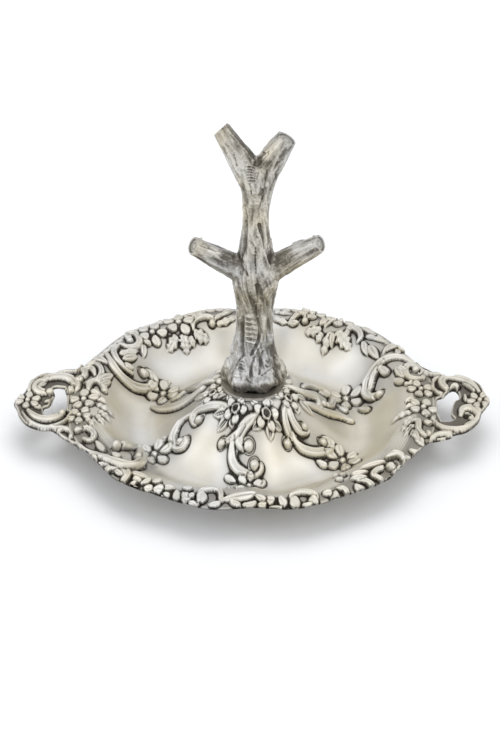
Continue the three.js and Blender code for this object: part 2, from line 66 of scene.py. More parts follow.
tray = {
    "halfLength": 40.3,     # middle to rim along X
    "halfWidth": 38.2,
    "meanRadius": 39,       # turns a share of the rim radius into millimetres
    "thickness": 0.6,
    # share of the rim radius, height over the table
    "profile": [(0, 13.5), (0.203, 13.5), (0.25, 12.55), (0.3, 10.26), (0.37, 7.02), (0.46, 3.3),
                (0.56, 0.32), (0.645, 0.2), (0.71, 3.3), (0.775, 6.8), (0.82, 8.3), (0.855, 8.6),
                (0.9, 8.6), (0.95, 8.1), (1, 7.45)],
    # how far the profile's corners are rounded, at the border and in the well, and where the well lies,
    # all as shares of the rim radius
    "profileBlur": 0.018, "wellBlur": 0.045, "wellBegins": (0.28, 0.42), "wellEnds": (0.68, 0.8),
    # where the crest of the border lies: degrees round the middle, share of the rim radius
    "crest": [(-180, 0.86), (-165, 0.87), (-150, 0.86), (-142, 0.865), (-134, 0.925), (-127, 0.917),
              (-118, 0.91), (-109, 0.885), (-100, 0.87), (-90, 0.875), (-82, 0.9), (-73, 0.905),
              (-66, 0.92), (-60, 0.905), (-52, 0.868), (-46, 0.86), (-40, 0.868), (-34, 0.895),
              (-29, 0.915), (-20, 0.88), (0, 0.86), (30, 0.89), (60, 0.88), (90, 0.86), (120, 0.88),
              (150, 0.89), (180, 0.86)],
    "crestInProfile": 0.855, "wallFoot": 0.6,
    "scallopDepth": 0.35, "scallopCount": 12,
    "rimDip": 0.7, "dipWidth": 0.15,        # the rim is drawn in at the front and at the back
    # between the spokes the dome's flank sinks to shallow panels
    "panelDepth": 0.9, "spokeCount": 6, "flank": (0.203, 0.565),
    "handleRise": 0.9, "handleReach": 12,   # how far a handle rises along its length
    "meetShare": 0.63, "meetOverlap": 0.006,    # where the dome piece and the border pieces meet
    "domeSteps": 840, "domeCell": 0.185, "domeLowRows": 14,
    "domeTop": 0.16,        # up to here, under the tree's foot, the rows are wide apart
    "borderSteps": 1760, "borderRows": 104, "borderLow": [1.0, 0.985, 0.95, 0.9, 0.83, 0.775, 0.71, 0.67],
    "borderTuck": 0.04,     # how far a border piece's inner edge lies under the dome piece
    "ornamentLift": 0.5,    # how far over the sheet the middle of a form lies
    "moat": 0.22,           # how far the ground sinks beside a form
    "closeBlur": 0.4, "broadBlur": 0.9, "haloBlur": 2.0,    # how near a form a point counts as beside it
    "pressedThrough": 0.7,  # share of the relief that shows on the underside
    # how dark the oxide and the painted shade are, from 0 to 1
    # the creases hold oxide and painted shade; round the foot, beside the ornament and on the underside lies
    # painted shade
    "creaseOxideAndShade": 0.9, "groundOxide": 0.7, "footShade": 0.7, "edgeOxide": 0.6, "haloShade": 0.3,
    "undersideShade": 0.4,
}


# Helpers for meshes

def addPiece(name, bm):
    mesh = bpy.data.meshes.new(name)
    bm.to_mesh(mesh)
    bm.free()
    mesh.transform(Matrix.Scale(0.001, 4))
    mesh.shade_smooth()
    piece = bpy.data.objects.new(name, mesh)
    scene.collection.objects.link(piece)
    return piece


def readPlaces(verts):
    return np.array([vert.co for vert in verts])


def spinProfile(bm, rows):
    # turns rows of [radius, height] round the Z axis
    line = [bm.verts.new((radius, 0, z)) for radius, z in rows]
    edges = [bm.edges.new(pair) for pair in zip(line, line[1:])]
    bmesh.ops.spin(bm, geom=line + edges, cent=(0, 0, 0), axis=(0, 0, 1), angle=2 * math.pi, steps=48,
                   use_merge=True, dvec=(0, 0, 0))
    bmesh.ops.remove_doubles(bm, verts=bm.verts, dist=1e-5)


def facingMatrix(place, heading):
    return Matrix.Translation(place) @ heading.to_track_quat("Z", "Y").to_matrix().to_4x4()


def smoothStep(values, low, high):
    t = np.clip((values - low) / (high - low), 0, 1)
    return t * t * (3 - 2 * t)


def smoothLine(places, step):
    # a smooth curve through the places
    p = np.array(places, float)
    if len(p) == 2:
        return np.linspace(p[0], p[1], max(3, int(np.hypot(*(p[1] - p[0])) / step)))
    ends = np.vstack([2 * p[0] - p[1], p, 2 * p[-1] - p[-2]])
    parts = []
    for a, b, c, d in zip(ends, ends[1:], ends[2:], ends[3:]):
        t = np.linspace(0, 1, max(2, int(np.hypot(*(c - b)) / step)), endpoint=False)[:, None]
        parts.append(0.5 * (2 * b + (c - a) * t + (2 * a - 5 * b + 4 * c - d) * t ** 2
                            + (3 * b - a - 3 * c + d) * t ** 3))
    return np.vstack([*parts, p[-1:]])


# The tray's sheet, without its ornament

def rimRadius(angle):
    oval = 1 / np.hypot(np.cos(angle) / tray["halfLength"], np.sin(angle) / tray["halfWidth"])
    dip = tray["rimDip"] * np.exp(-(np.cos(angle) / tray["dipWidth"]) ** 2)
    return oval - tray["scallopDepth"] * np.cos(tray["scallopCount"] * angle) - dip


def smoothProfile():
    # the well is a softer curve than the border
    shares, heights = zip(*tray["profile"])
    fine = np.linspace(-0.2, 1.2, 1401)
    spread, margin = 190, 195       # steps that the blur reaches, and that are cut off at each end
    blurred = []
    for reach in (tray["profileBlur"], tray["wellBlur"]):
        bell = np.exp(-0.5 * (np.arange(-spread, spread + 1) * (fine[1] - fine[0]) / reach) ** 2)
        blurred.append(np.convolve(np.interp(fine, shares, heights), bell / bell.sum(), mode="same"))
    soft = smoothStep(fine, *tray["wellBegins"]) * (1 - smoothStep(fine, *tray["wellEnds"]))
    return fine[margin:-margin], (blurred[0] * (1 - soft) + blurred[1] * soft)[margin:-margin]


profileShares, profileHeights = smoothProfile()
rimHeight = float(np.interp(1, profileShares, profileHeights))


def crestShare(angle):
    return np.interp(np.degrees(angle), *zip(*tray["crest"]))


def sheetHeight(x, y):
    angle = np.arctan2(y, x)
    share = np.hypot(x, y) / rimRadius(angle)
    crest = crestShare(angle)
    foot, middle = tray["wallFoot"], tray["crestInProfile"]
    inside = foot + (share - foot) * (middle - foot) / (crest - foot)
    outside = middle + (share - crest) * (1 - middle) / (1 - crest)
    across = np.where(share < foot, share, np.where(share < crest, inside, outside))
    height = np.interp(across, profileShares, profileHeights)
    top, bottom = tray["flank"]
    flank = np.clip((share - top) / (bottom - top), 0, 1)
    between = (1 + np.cos(tray["spokeCount"] * angle)) / 2
    height = height - tray["panelDepth"] * np.sin(np.pi * flank) * between
    rise = tray["handleRise"] * np.clip(np.abs(x) - tray["halfLength"], 0, None) / tray["handleReach"]
    return np.where(share > 1, rimHeight + rise, height)


def sheetPlace(pixel, leastShare=0):
    # the place on the plan where the line of sight through a pixel of the photo first meets the sheet,
    # or where it passes nearest to it outside a share of the rim's radius
    elevation = math.radians(camera["elevation"])
    up, level = math.sin(elevation), math.cos(elevation)
    highest, lowest, far = 16, -1, 99
    z = np.linspace(highest, lowest, 1200)
    rise = (camera["targetPixel"][1] - pixel[1]) / camera["focal"]
    lift = z - camera["target"][2]
    y = (rise * (camera["distance"] - lift * up) - lift * level) / (up - rise * level)
    away = camera["distance"] + y * level - lift * up
    x = (pixel[0] - camera["targetPixel"][0]) * away / camera["focal"]
    above = z - sheetHeight(x, y) - tray["ornamentLift"]
    above[np.hypot(x, y) / rimRadius(np.arctan2(y, x)) < leastShare] = far
    first = np.argmax(above <= 0) if above.min() <= 0 else np.argmin(above)
    return float(x[first]), float(y[first])


def liftedPlaces(x, y, lift):
    # places on the sheet, moved off it along its own slope
    step = 0.2
    slopeX = (sheetHeight(x + step, y) - sheetHeight(x - step, y)) / (2 * step)
    slopeY = (sheetHeight(x, y + step) - sheetHeight(x, y - step)) / (2 * step)
    size = np.sqrt(1 + slopeX ** 2 + slopeY ** 2)
    return np.stack([x - slopeX * lift / size, y - slopeY * lift / size,
                     sheetHeight(x, y) + lift / size], axis=-1)


# Relief forms. Each raises a field of points over the sheet; places are [x, y] on the plan.

def distances(x, y, line):
    # from each point to each place of a line
    return np.hypot(x[:, None] - line[:, 0], y[:, None] - line[:, 1])


def pointsNear(field, places, reach):
    low, high = np.min(places, axis=0) - reach, np.max(places, axis=0) + reach
    x, y = field["x"], field["y"]
    return np.flatnonzero((x > low[0]) & (x < high[0]) & (y > low[1]) & (y < high[1]))


def raiseWhere(field, near, inside, height):
    below = -9      # under any relief
    field["height"][near] = np.maximum(field["height"][near], np.where(inside, height, below))


def bellShape(values, middle, width):
    return np.exp(-((values - middle) / width) ** 2)


def headingLength(base, tip):
    # which way a form runs, and how long it is
    return math.atan2(tip[1] - base[1], tip[0] - base[0]), max(math.dist(base, tip), 0.3)


def alongAcross(field, near, start, heading):
    dx, dy = field["x"][near] - start[0], field["y"][near] - start[1]
    return (dx * math.cos(heading) + dy * math.sin(heading),
            dy * math.cos(heading) - dx * math.sin(heading))


# Round each form, and in a scroll's groove, a bell shape sinks the surface.

def raiseScroll(field, places, width, height, ball):
    line = smoothLine(places, 0.1)
    near = pointsNear(field, line, width)
    if not len(near):
        return
    swell = np.interp(np.linspace(0, 1, len(line)), [0, 0.2, 0.5, 0.8, 1], [0.45, 0.85, 1, 0.92, 0.8])
    x, y = field["x"][near], field["y"][near]
    apart = distances(x, y, line) / (swell * width / 2)
    best = apart.argmin(axis=1)
    t = np.take_along_axis(apart, best[:, None], axis=1)[:, 0]
    # the groove runs a little to one side of the middle, so that one lip is fat and one is thin
    tangent = np.gradient(line, axis=0)
    tangent = (tangent / np.maximum(np.linalg.norm(tangent, axis=1, keepdims=True), 1e-9))[best]
    across = tangent[:, 0] * (y - line[best, 1]) - tangent[:, 1] * (x - line[best, 0])
    across = across / (swell[best] * width / 2)
    groove, side, grooveWidth = 0.36, 0.2, 0.24
    fade = smoothStep(best / len(line), 0.03, 0.3) * (1 - smoothStep(best / len(line), 0.8, 1))
    shape = np.sqrt(np.clip(1 - t ** 2.8, 0, 1)) - groove * fade * bellShape(across, side, grooveWidth)
    field["height"][near] -= 0.4 * bellShape(t, 1.12, 0.15) * np.clip(field["height"][near], 0, 1)
    raiseWhere(field, near, t < 1, height * swell[best] ** 0.7 * shape)
    if ball:
        raiseBead(field, line[-1], ball, height * 1.15)


def raiseBead(field, place, radius, height):
    near = pointsNear(field, [place], radius * 1.6)
    t = np.hypot(field["x"][near] - place[0], field["y"][near] - place[1]) / radius
    field["height"][near] -= bellShape(t, 1.16, 0.17) * 0.5 * height
    raiseWhere(field, near, t < 1, height * np.sqrt(np.clip(1 - t ** 2, 0, 1)))


def sinkPit(field, place, radius):
    depth = 0.35
    near = pointsNear(field, [place], radius * 1.6)
    t = np.hypot(field["x"][near] - place[0], field["y"][near] - place[1]) / radius
    pit = np.minimum(field["height"][near], -depth * (1 - t ** 4))
    field["height"][near] = np.where(t < 1, pit, field["height"][near])


def raisePetal(field, base, tip, width, height):
    heading, length = headingLength(base, tip)
    middle = ((base[0] + tip[0]) / 2, (base[1] + tip[1]) / 2)
    near = pointsNear(field, [middle], 0.8 * (length + width))
    along, across = alongAcross(field, near, middle, heading)
    along, across = along / (length / 2), across / (width / 2)
    inner = np.clip(along, -1, 1)
    outline = np.maximum((1 - inner ** 2) ** 0.62 * (1 + 0.2 * inner), 0.05)
    t = np.where(np.abs(along) < 1, np.abs(across) / outline, 9)
    hollow = 0.24 * (1 - smoothStep(t, 0, 0.45))
    shape = np.clip(1 - t ** 3, 0, 1) ** 0.5 * (0.84 + 0.16 * inner) * (1 - hollow)
    apart = np.hypot(along, across)
    field["height"][near] -= 0.6 * bellShape(apart, 1.08, 0.16) * np.clip(field["height"][near], 0, 1)
    raiseWhere(field, near, t < 1, height * shape)


def raiseLeaf(field, base, tip, width, height, veins=0, hollow=False):
    heading, length = headingLength(base, tip)
    near = pointsNear(field, [base], length + width)
    along, across = alongAcross(field, near, base, heading)
    along = along / length
    inner = np.clip(along, 0, 1)
    outline = np.sin(np.pi * inner ** 0.75) ** 0.75
    if veins:
        outline = outline * (0.83 + 0.17 * np.cos(2 * np.pi * veins * (inner - 0.1)))
    t = np.abs(across) / np.maximum(outline * width / 2, 1e-4)
    shape = np.clip(1 - t ** 3, 0, 1) ** 0.5
    if hollow:
        shape = shape * (0.15 + 0.85 * smoothStep(t, 0.15, 0.6)) + 0.35 * bellShape(across, 0, 0.12)
    else:
        shape = shape - 0.45 * bellShape(across, 0, 0.06 * width + 0.06)
    if veins:
        ripple = 1 - np.cos(2 * np.pi * veins * 1.5 * (along - 0.35 * t))
        shape = shape - 0.13 * ripple * smoothStep(t, 0.05, 0.3)
    inside = (along > 0) & (along < 1) & (t < 1)
    edge = (along > -0.08) & (along < 1.08) & (t < 1.3) & ~inside
    field["height"][near] *= np.where(inside, 0.5, np.where(edge, 0.75, 1))
    raiseWhere(field, near, inside, height * np.clip(outline, 0, 1) ** 0.4 * shape)


def raiseFlower(field, place, radius, petals, turn, height, pierced):
    spread = 2 * math.pi / petals
    for k in range(petals):
        heading = turn + spread * k
        ends = [(place[0] + share * radius * math.cos(heading), place[1] + share * radius * math.sin(heading))
                for share in (0.38, 1.24)]
        raisePetal(field, *ends, spread * radius * 0.66, height)
    if pierced:
        raiseBead(field, place, radius * 0.48, height * 1.05)
        sinkPit(field, place, radius * 0.3)
    else:
        raiseBead(field, place, radius * 0.25, height * 1.1)


def hatch(field, places, width):
    # fine ridges along a band
    line = smoothLine(places, 0.4)
    near = pointsNear(field, line, width)
    if not len(near):
        return
    heading = headingLength(*places)[0]
    x, y = field["x"][near], field["y"][near]
    apart = distances(x, y, line).min(axis=1)
    spacing, depth = 0.55, 0.3
    wave = 0.5 - 0.5 * np.cos(2 * np.pi * (y * math.cos(heading) - x * math.sin(heading)) / spacing)
    field["height"][near] -= depth * wave * (1 - smoothStep(apart, 0.7 * width / 2, width / 2))


# Where the ornament goes

# Leaves in a row round the tray, one row from under the tree's foot and one on the back of the rim, from
# its first to its last angle in degrees. Each is turned by a share outward and a share along the row.
collarLeaves = {"count": 17, "radius": 7.95, "length": 2.5, "width": 1.5, "height": 0.5,
                "outward": 1, "around": 1.1}
edgeLeaves = {"count": 46, "first": 14, "last": 166, "share": 0.962, "length": 2.7, "width": 1.35,
              "height": 0.5, "outward": 0.45, "around": 1}

# Places in the ornament are pixels of the photo, read one by one; sheetPlace lays them on the sheet.
# Scrolls, and the tall ones: width, radius of the end ball and places. Leaves: width, veins, base and tip.
# Petals and hollow leaves: width, base and tip. Flowers, and those with a pierced middle: radius, petals,
# turn and middle. Pits: radius and middle. Lines, which are fine ridges: both ends and width of the band.
# A region with a leastShare keeps its forms outside that share of the rim's radius.
relief = {
    "frontSpoke": {
        "scrolls": [
            (2.1, 1.05, [(259, 412), (249, 419), (242, 428), (239, 437), (242, 444), (249, 444)]),
            (1.3, 0.85, [(244, 424), (237, 432), (230, 438), (222, 442)]),
            (2.1, 1.0, [(233, 437), (232, 449), (233, 460), (238, 468), (247, 473), (256, 472), (260, 466),
                        (254, 463)]),
        ],
        "flowers": [(2.35, 6, 0.35, (249, 484.5))],
        "petals": [
            (1.7, (236, 481), (225, 475)), (1.7, (245, 484), (243, 474)), (1.7, (256, 485), (266, 480)),
            (1.5, (237, 487), (228, 485)),
        ],
        "pierced": [(2.15, 5, 0.3, (266, 411))],
        "hollows": [
            (1.9, (265, 418), (252, 428)), (2.0, (270, 422), (270, 440)), (1.7, (272, 419), (282, 429)),
        ],
    },
    "frontLeftSpoke": {
        "scrolls": [
            (1.7, 0.75, [(232, 404), (220, 403.5), (208, 405), (199, 409), (194, 415), (196, 421),
                         (200, 418)]),
            (1.9, 0.7, [(191, 413), (182, 420), (176, 429), (173, 439), (177, 446), (184, 445), (186, 439),
                        (181, 440)]),
        ],
        "flowers": [(3.35, 6, 0.2, (154.5, 453))],
        "leaves": [(1.7, 0, (157, 442), (168, 435)), (1.8, 0, (147, 448), (133, 443))],
        "pierced": [(2.0, 5, 0.9, (236, 406))],
        "hollows": [
            (1.6, (227, 410), (213, 414)), (1.9, (228, 416), (217, 430)), (1.5, (232, 416), (233, 427)),
        ],
    },
    "backLeftSpoke": {
        "scrolls": [
            (2.2, 0.95, [(107, 353), (112, 363), (118, 372), (126, 380), (136, 386), (148, 387),
                         (154, 380), (150, 373), (143, 372)]),
            (1.5, 0, [(119, 344), (114, 350), (116, 358), (122, 365), (130, 371)]),
            (1.5, 0.85, [(180, 389), (191, 388), (200, 385), (208, 381), (220, 381)]),
            (1.9, 0, [(152, 406), (166, 408), (180, 404), (192, 397), (203, 388)]),
        ],
        "flowers": [(3.3, 6, 0.5, (163, 393))],
        "petals": [
            (1.5, (123, 362), (132, 368)), (1.5, (171, 400), (187, 391)), (1.3, (162, 385), (170, 381)),
        ],
        "pierced": [(1.8, 5, 0.2, (213, 391))],
        "hollows": [
            (1.4, (207, 394), (195, 398)), (1.4, (211, 397), (200, 403)), (1.4, (213, 397), (227, 393)),
        ],
    },
    "frontRightSpoke": {
        "scrolls": [
            (1.7, 0.85, [(285, 402), (284, 413), (286, 425), (289, 435), (287, 442)]),
            (1.7, 0.7, [(288, 404), (290, 414), (294, 423), (300, 430), (306, 429), (303, 425)]),
            (2.0, 0.8, [(292, 432), (296, 441), (304, 448), (316, 451), (327, 449), (331, 443), (326, 439),
                        (322, 441)]),
        ],
        "flowers": [(3.35, 6, 0.75, (342.5, 459.5))],
        "petals": [(1.7, (316, 459), (328, 466))],
        "pierced": [(1.8, 5, 0.6, (288, 396))],
        "hollows": [
            (1.7, (296, 403), (297, 413)), (1.5, (299, 399), (314, 415)), (1.2, (296, 394), (305, 399)),
        ],
    },
    "backRightSpoke": {
        "scrolls": [
            (2.0, 0.8, [(418, 366), (407, 359), (396, 356), (386, 358), (378, 364), (371, 373), (366, 383),
                        (366, 392), (372, 396), (380, 393)]),
            (1.4, 0, [(384, 360), (379, 367), (374, 376), (371, 388)]),
            (1.6, 0, [(284, 385), (298, 390), (310, 394), (317, 399), (319, 407)]),
            (1.5, 0.7, [(302, 386), (318, 389), (330, 396), (331, 404), (322, 403)]),
            (1.9, 0, [(304, 402), (322, 410), (338, 415), (351, 420)]),
        ],
        "flowers": [(3.3, 6, 0.5, (346, 398))],
        "petals": [
            (1.6, (338, 406), (348, 411)), (1.7, (358, 408), (371, 408)), (1.7, (380, 365), (389, 373)),
            (1.5, (318, 391), (328, 396)),
        ],
    },
    "backLeftRim": {
        "scrolls": [
            (1.7, 0.8, [(120, 343), (128, 346), (136, 345), (139, 339), (135, 333), (128, 334),
                        (130, 340)]),
            (1.6, 0.8, [(193, 328), (193, 321), (199, 317), (207, 316), (213, 319), (212, 322)]),
        ],
        "flowers": [(2.9, 5, 0.35, (178.5, 321)), (2.7, 5, 0.1, (152, 331))],
        "leaves": [
            (2.4, 2, (119, 353), (140, 349)), (1.6, 0, (122, 358), (138, 355)),
            (1.5, 0, (143, 343), (143, 357)), (1.6, 0, (143, 338), (151, 345)),
            (2.6, 3, (177, 334), (167, 351)), (3.4, 4, (183, 332), (187, 354)),
            (2.0, 2, (189, 334), (195, 347)), (3.0, 3, (193, 331), (210, 339)),
            (2.0, 3, (216, 323), (238, 316)), (1.8, 2, (214, 318), (236, 309)),
            (1.6, 0, (157, 323), (167, 320)), (1.8, 2, (192, 316), (205, 311)),
        ],
    },
    "backRightRim": {
        "scrolls": [
            (1.5, 0.8, [(289, 322), (294, 317), (300, 313), (306, 315), (305, 320)]),
            (1.6, 0.8, [(358, 341), (361, 336), (358, 330), (351, 327), (347, 332)]),
        ],
        "flowers": [(2.7, 5, 0.9, (312, 312.5)), (2.8, 5, 0.6, (341, 320))],
        "leaves": [
            (1.8, 2, (273, 317), (290, 322)), (1.7, 2, (274, 311), (293, 313)),
            (1.5, 0, (289, 322), (300, 321)), (2.8, 3, (322, 328), (304, 331)),
            (2.2, 2, (323, 331), (316, 342)), (2.0, 0, (335, 317), (324, 327)),
            (2.8, 3, (332, 330), (322, 356)), (1.5, 0, (333, 331), (332, 348)),
            (3.4, 4, (337, 329), (351, 349)), (1.7, 0, (361, 327), (375, 334)),
            (2.1, 2, (365, 335), (391, 343)), (1.5, 0, (363, 340), (368, 355)),
            (1.9, 0, (369, 344), (379, 358)), (1.7, 0, (396, 344), (382, 353)),
            (1.6, 0, (320, 324), (330, 318)), (1.4, 0, (396, 345), (407, 352)),
        ],
    },
    "leftRim": {
        "scrolls": [
            (1.6, 0.8, [(95, 374), (92, 368), (86, 369), (85, 375), (80, 379)]),
            (1.4, 0, [(92, 362), (99, 365), (101, 372), (97, 379), (88, 382)]),
            (1.5, 0, [(88, 390), (90, 383), (96, 380), (102, 384), (104, 390)]),
            (1.5, 0.8, [(84, 437), (91, 439), (94, 433), (88, 427), (79, 429)]),
            (1.3, 0, [(56, 431), (64, 428), (71, 431), (71, 436)]),
        ],
        "flowers": [(2.6, 5, 0.3, (84, 398)), (2.2, 5, 0.9, (79.5, 414))],
        "leaves": [
            (1.9, 0, (94, 357), (108, 363)), (1.5, 0, (97, 361), (86, 365)),
            (1.9, 0, (99, 379), (113, 373)), (1.4, 0, (100, 384), (111, 380)),
            (1.6, 0, (91, 389), (100, 396)), (1.5, 0, (96, 396), (106, 404)),
            (1.8, 3, (96, 403), (116, 418)), (1.8, 3, (98, 409), (112, 423)),
            (1.5, 2, (96, 413), (104, 424)), (1.5, 2, (86, 417), (95, 424)), (1.6, 0, (80, 384), (73, 392)),
        ],
        "lines": [((90, 424), (109, 448), 5)],
    },
    "rightRim": {
        "scrolls": [
            (1.6, 0.8, [(424, 377), (414, 378), (407, 374), (406, 367), (412, 364), (415, 369)]),
            (1.5, 0.7, [(411, 420), (418, 420), (418, 428), (422, 433), (428, 433)]),
            (1.5, 0, [(431, 442), (433, 436), (441, 433), (452, 433), (460, 437)]),
            (1.3, 0, [(437, 441), (443, 438), (451, 438)]),
        ],
        "flowers": [(2.3, 5, 0.7, (420.5, 388)), (2.5, 5, 1.2, (423, 406))],
        "petals": [(1.5, (423, 420), (431, 423)), (1.7, (395, 378), (404, 382))],
        "leaves": [
            (1.6, 0, (396, 366), (404, 378)), (1.4, 0, (398, 365), (407, 371)),
            (1.5, 2, (404, 384), (418, 381)), (1.7, 0, (418, 402), (405, 408)),
            (1.7, 0, (414, 397), (405, 402)), (2.0, 3, (412, 411), (389, 424)),
            (1.9, 3, (413, 415), (401, 430)), (1.7, 2, (414, 423), (404, 434)),
            (2.4, 2, (411, 429), (426, 447)), (1.3, 0, (413, 428), (419, 441)),
        ],
        "lines": [((406, 428), (387, 456), 5)],
    },
    "frontLeftRim": {
        "leastShare": 0.82,
        "tall": [
            (2.2, 0.9, [(93, 453), (104, 457), (114, 461), (128, 466), (137, 464), (139, 456), (134, 449),
                        (125, 446), (116, 447)]),
        ],
        "scrolls": [
            (2.1, 0, [(77, 441), (84, 449), (95, 454), (108, 457)]),
            (1.7, 0, [(108, 478), (107, 471), (112, 466), (121, 467), (128, 473), (124, 480), (124, 487)]),
            (1.3, 0.7, [(113, 463), (104, 463), (98, 466), (101, 472)]),
            (1.3, 0, [(183, 491), (184, 498), (189, 503)]),
            (1.5, 0, [(200, 500), (199, 493), (205, 489), (214, 488.5), (220, 491), (221, 499)]),
        ],
        "petals": [
            (1.5, (96, 440), (105, 451)), (1.5, (112, 452), (121, 457)), (1.5, (92, 455), (98, 460)),
            (1.9, (144, 487), (154, 487)), (2.2, (154, 487), (164, 488)), (1.3, (141, 482), (152, 479)),
            (1.2, (152, 481), (162, 480)), (1.7, (128, 484), (139, 489)), (1.2, (131, 482), (138, 481)),
            (1.6, (147, 492), (155, 493)), (1.5, (158, 494), (169, 500)), (1.2, (164, 491), (170, 495)),
            (2.0, (177, 489), (177, 499)), (2.0, (182, 492), (191, 498)), (1.2, (189, 493), (195, 495)),
            (1.6, (189, 500), (199, 504)), (2.4, (202, 490.5), (202, 502)), (1.2, (182, 487), (193, 488)),
            (1.3, (208, 504), (221, 502)), (1.2, (86, 462), (93, 466)),
        ],
        "pits": [(1.5, (128.5, 456))],
        "leaves": [
            (1.2, 0, (115, 469), (124, 474)), (1.3, 0, (131, 471), (151, 478)),
            (1.3, 0, (163, 486), (176, 487)), (1.3, 0, (133, 476), (143, 480)),
        ],
    },
    "frontRightRim": {
        "leastShare": 0.82,
        "tall": [(2.0, 0.9, [(387, 457), (396, 454.5), (403, 460), (402, 468), (395, 470), (389, 467)])],
        "scrolls": [
            (1.5, 0, [(291, 500), (292, 494), (299, 491.5), (308, 491.5), (315, 494), (316, 501)]),
            (1.4, 0, [(388, 465), (377, 469), (373, 474), (380, 478), (384, 484)]),
            (1.5, 0, [(357, 479), (366, 480), (372, 485), (374, 491)]),
            (1.4, 0, [(337, 487), (344, 488), (349, 495)]),
        ],
        "petals": [
            (2.4, (295, 495), (295, 507)), (2.2, (313, 494), (313, 504)), (1.2, (302, 504), (312, 502)),
            (1.9, (279, 495), (286, 505)), (2.2, (264, 498), (275, 499)), (1.7, (255, 494), (266, 499)),
            (1.7, (257, 503), (267, 504)), (1.5, (242, 504), (257, 502)), (1.5, (269, 506), (282, 507)),
            (2.2, (335, 489), (335, 500)), (1.5, (322, 493), (331, 490)), (2.2, (354, 483), (364, 490)),
            (1.8, (386, 480), (397, 476)), (1.6, (408, 448), (421, 452)), (1.6, (403, 454), (413, 460)),
            (1.6, (411, 454), (421, 460)), (1.6, (407, 462), (417, 463)), (1.3, (334, 472), (338, 475)),
            (1.3, (340, 473), (345, 475)), (1.1, (335, 478), (343, 479)),
        ],
        "leaves": [
            (2.6, 0, (257, 492), (220, 499)), (1.4, 0, (229, 500), (243, 505)),
            (1.5, 0, (386, 460), (356, 469)), (1.5, 0, (351, 474), (369, 470)),
            (1.4, 0, (350, 478), (368, 475)),
        ],
    },
    "leftHandle": {
        "scrolls": [
            (2.5, 1.0, [(40, 380), (48, 377), (58, 375.5), (68, 377), (75, 381), (76, 386), (71, 389)]),
            (2.4, 0.9, [(47, 378), (39, 382), (36, 387), (41, 391), (50, 391)]),
            (0.85, 0, [(66, 372.5), (57, 371.5), (47, 373), (36, 377), (30, 384), (29, 391)]),
            (2.0, 0.8, [(28, 409), (34, 415), (42, 418), (50, 418), (58, 415.5), (62, 412)]),
            (0.85, 0, [(22, 411), (28, 419), (38, 425), (48, 426.5), (58, 424), (66, 419.5), (71, 413),
                       (67, 408.5)]),
            (0.9, 0, [(46, 428), (58, 427), (67, 428.5), (71, 433)]),
            (0.8, 0, [(45, 401), (51, 400), (54, 396)]),
            (0.9, 0, [(58, 372), (67, 371), (77, 371), (83, 366)]),
        ],
        "flowers": [(2.35, 6, 0.4, (27.5, 399))],
        "leaves": [(1.5, 2, (34, 405), (43, 407)), (1.2, 0, (51, 414), (58, 411))],
        "hollows": [(1.3, (46, 381), (37, 386))],
    },
    "rightHandle": {
        "scrolls": [
            (0.85, 0, [(443, 375.5), (454, 372.5), (467, 375.5), (477, 380.5), (483, 388)]),
            (1.1, 0, [(442, 375), (434, 380), (432, 386), (436, 391), (443, 394)]),
            (1.9, 1.05, [(479, 390), (475, 385.5), (467, 380), (457, 377), (447, 376), (442, 380),
                         (444, 385.5), (450, 388), (455, 386)]),
            (0.8, 0, [(463, 383), (469, 386), (474, 390)]),
            (2.3, 0, [(461, 414), (463, 408.5), (470, 407), (477, 410), (480, 415), (476, 421),
                      (468, 425)]),
            (1.2, 0, [(476, 421), (468, 426), (457, 428.5), (445, 427.5), (436, 423), (432.5, 418)]),
            (0.85, 0, [(488, 407), (489.5, 416), (485, 424), (476, 429), (466, 434)]),
            (1.0, 0, [(462, 439), (456, 434.5), (448, 432.5), (438, 434), (431.5, 439), (433, 445)]),
            (0.8, 0, [(465, 394), (466, 399), (470, 401)]),
            (0.9, 0, [(417, 366), (424, 371.5), (433, 374), (443, 374)]),
        ],
        "flowers": [(2.35, 6, 0.1, (480, 399))],
        "leaves": [(1.4, 0, (474, 419), (465, 411)), (1.2, 0, (455, 437), (439, 437))],
        "pits": [(0.8, (438, 420)), (0.9, (467, 415))],
    },
}

formHeight = {"scrolls": 1.05, "tall": 1.9, "leaves": 0.85, "hollows": 0.6, "petals": 0.95, "flowers": 0.8,
              "pierced": 0.7}
tallInward = 0.13       # how much further into the well a tall scroll may start, as a share of the radius

handle = {
    # the left handle's, on the plan; the right one is turned half round
    "outline": [(-36, 14.3), (-38.5, 13.5), (-42.8, 12.2), (-43.5, 11.3), (-46.5, 10.2), (-49, 7.2), (-50, 3.8),
                (-51.2, 1.6), (-52, -0.5), (-51.2, -2.8), (-50.4, -5.5), (-48.6, -8.2), (-45.5, -9.7),
                (-43.3, -9.6), (-40.8, -12), (-38, -14.5), (-36, -15)],
    "hole": [(-41.3, 6.4), (-40.6, 3.5), (-40.5, 0), (-40.6, -2.2), (-42, -2.9), (-42.8, -4.2), (-44.2, -5.3),
             (-45.2, -4.2), (-45.4, -1.8), (-44.3, -0.8), (-43.6, 1.5), (-43.3, 4), (-43.9, 5.6), (-43, 6.5)],
    "gridMiddle": 45.2, "gridSize": (18, 32), "cell": 0.145,
    "snap": 0.72,           # cells within which a point moves onto the edge
    "edgeRound": 0.45, "edgeDrop": 0.45, "thickness": 0.75, "leastThickness": 0.3,
    "underBorder": 0.35,    # how far the plate sinks where the border covers it
    "groundOxide": 0.8,
}


def laid(pixels, leastShare=0):
    return [sheetPlace(pixel, leastShare) for pixel in pixels]


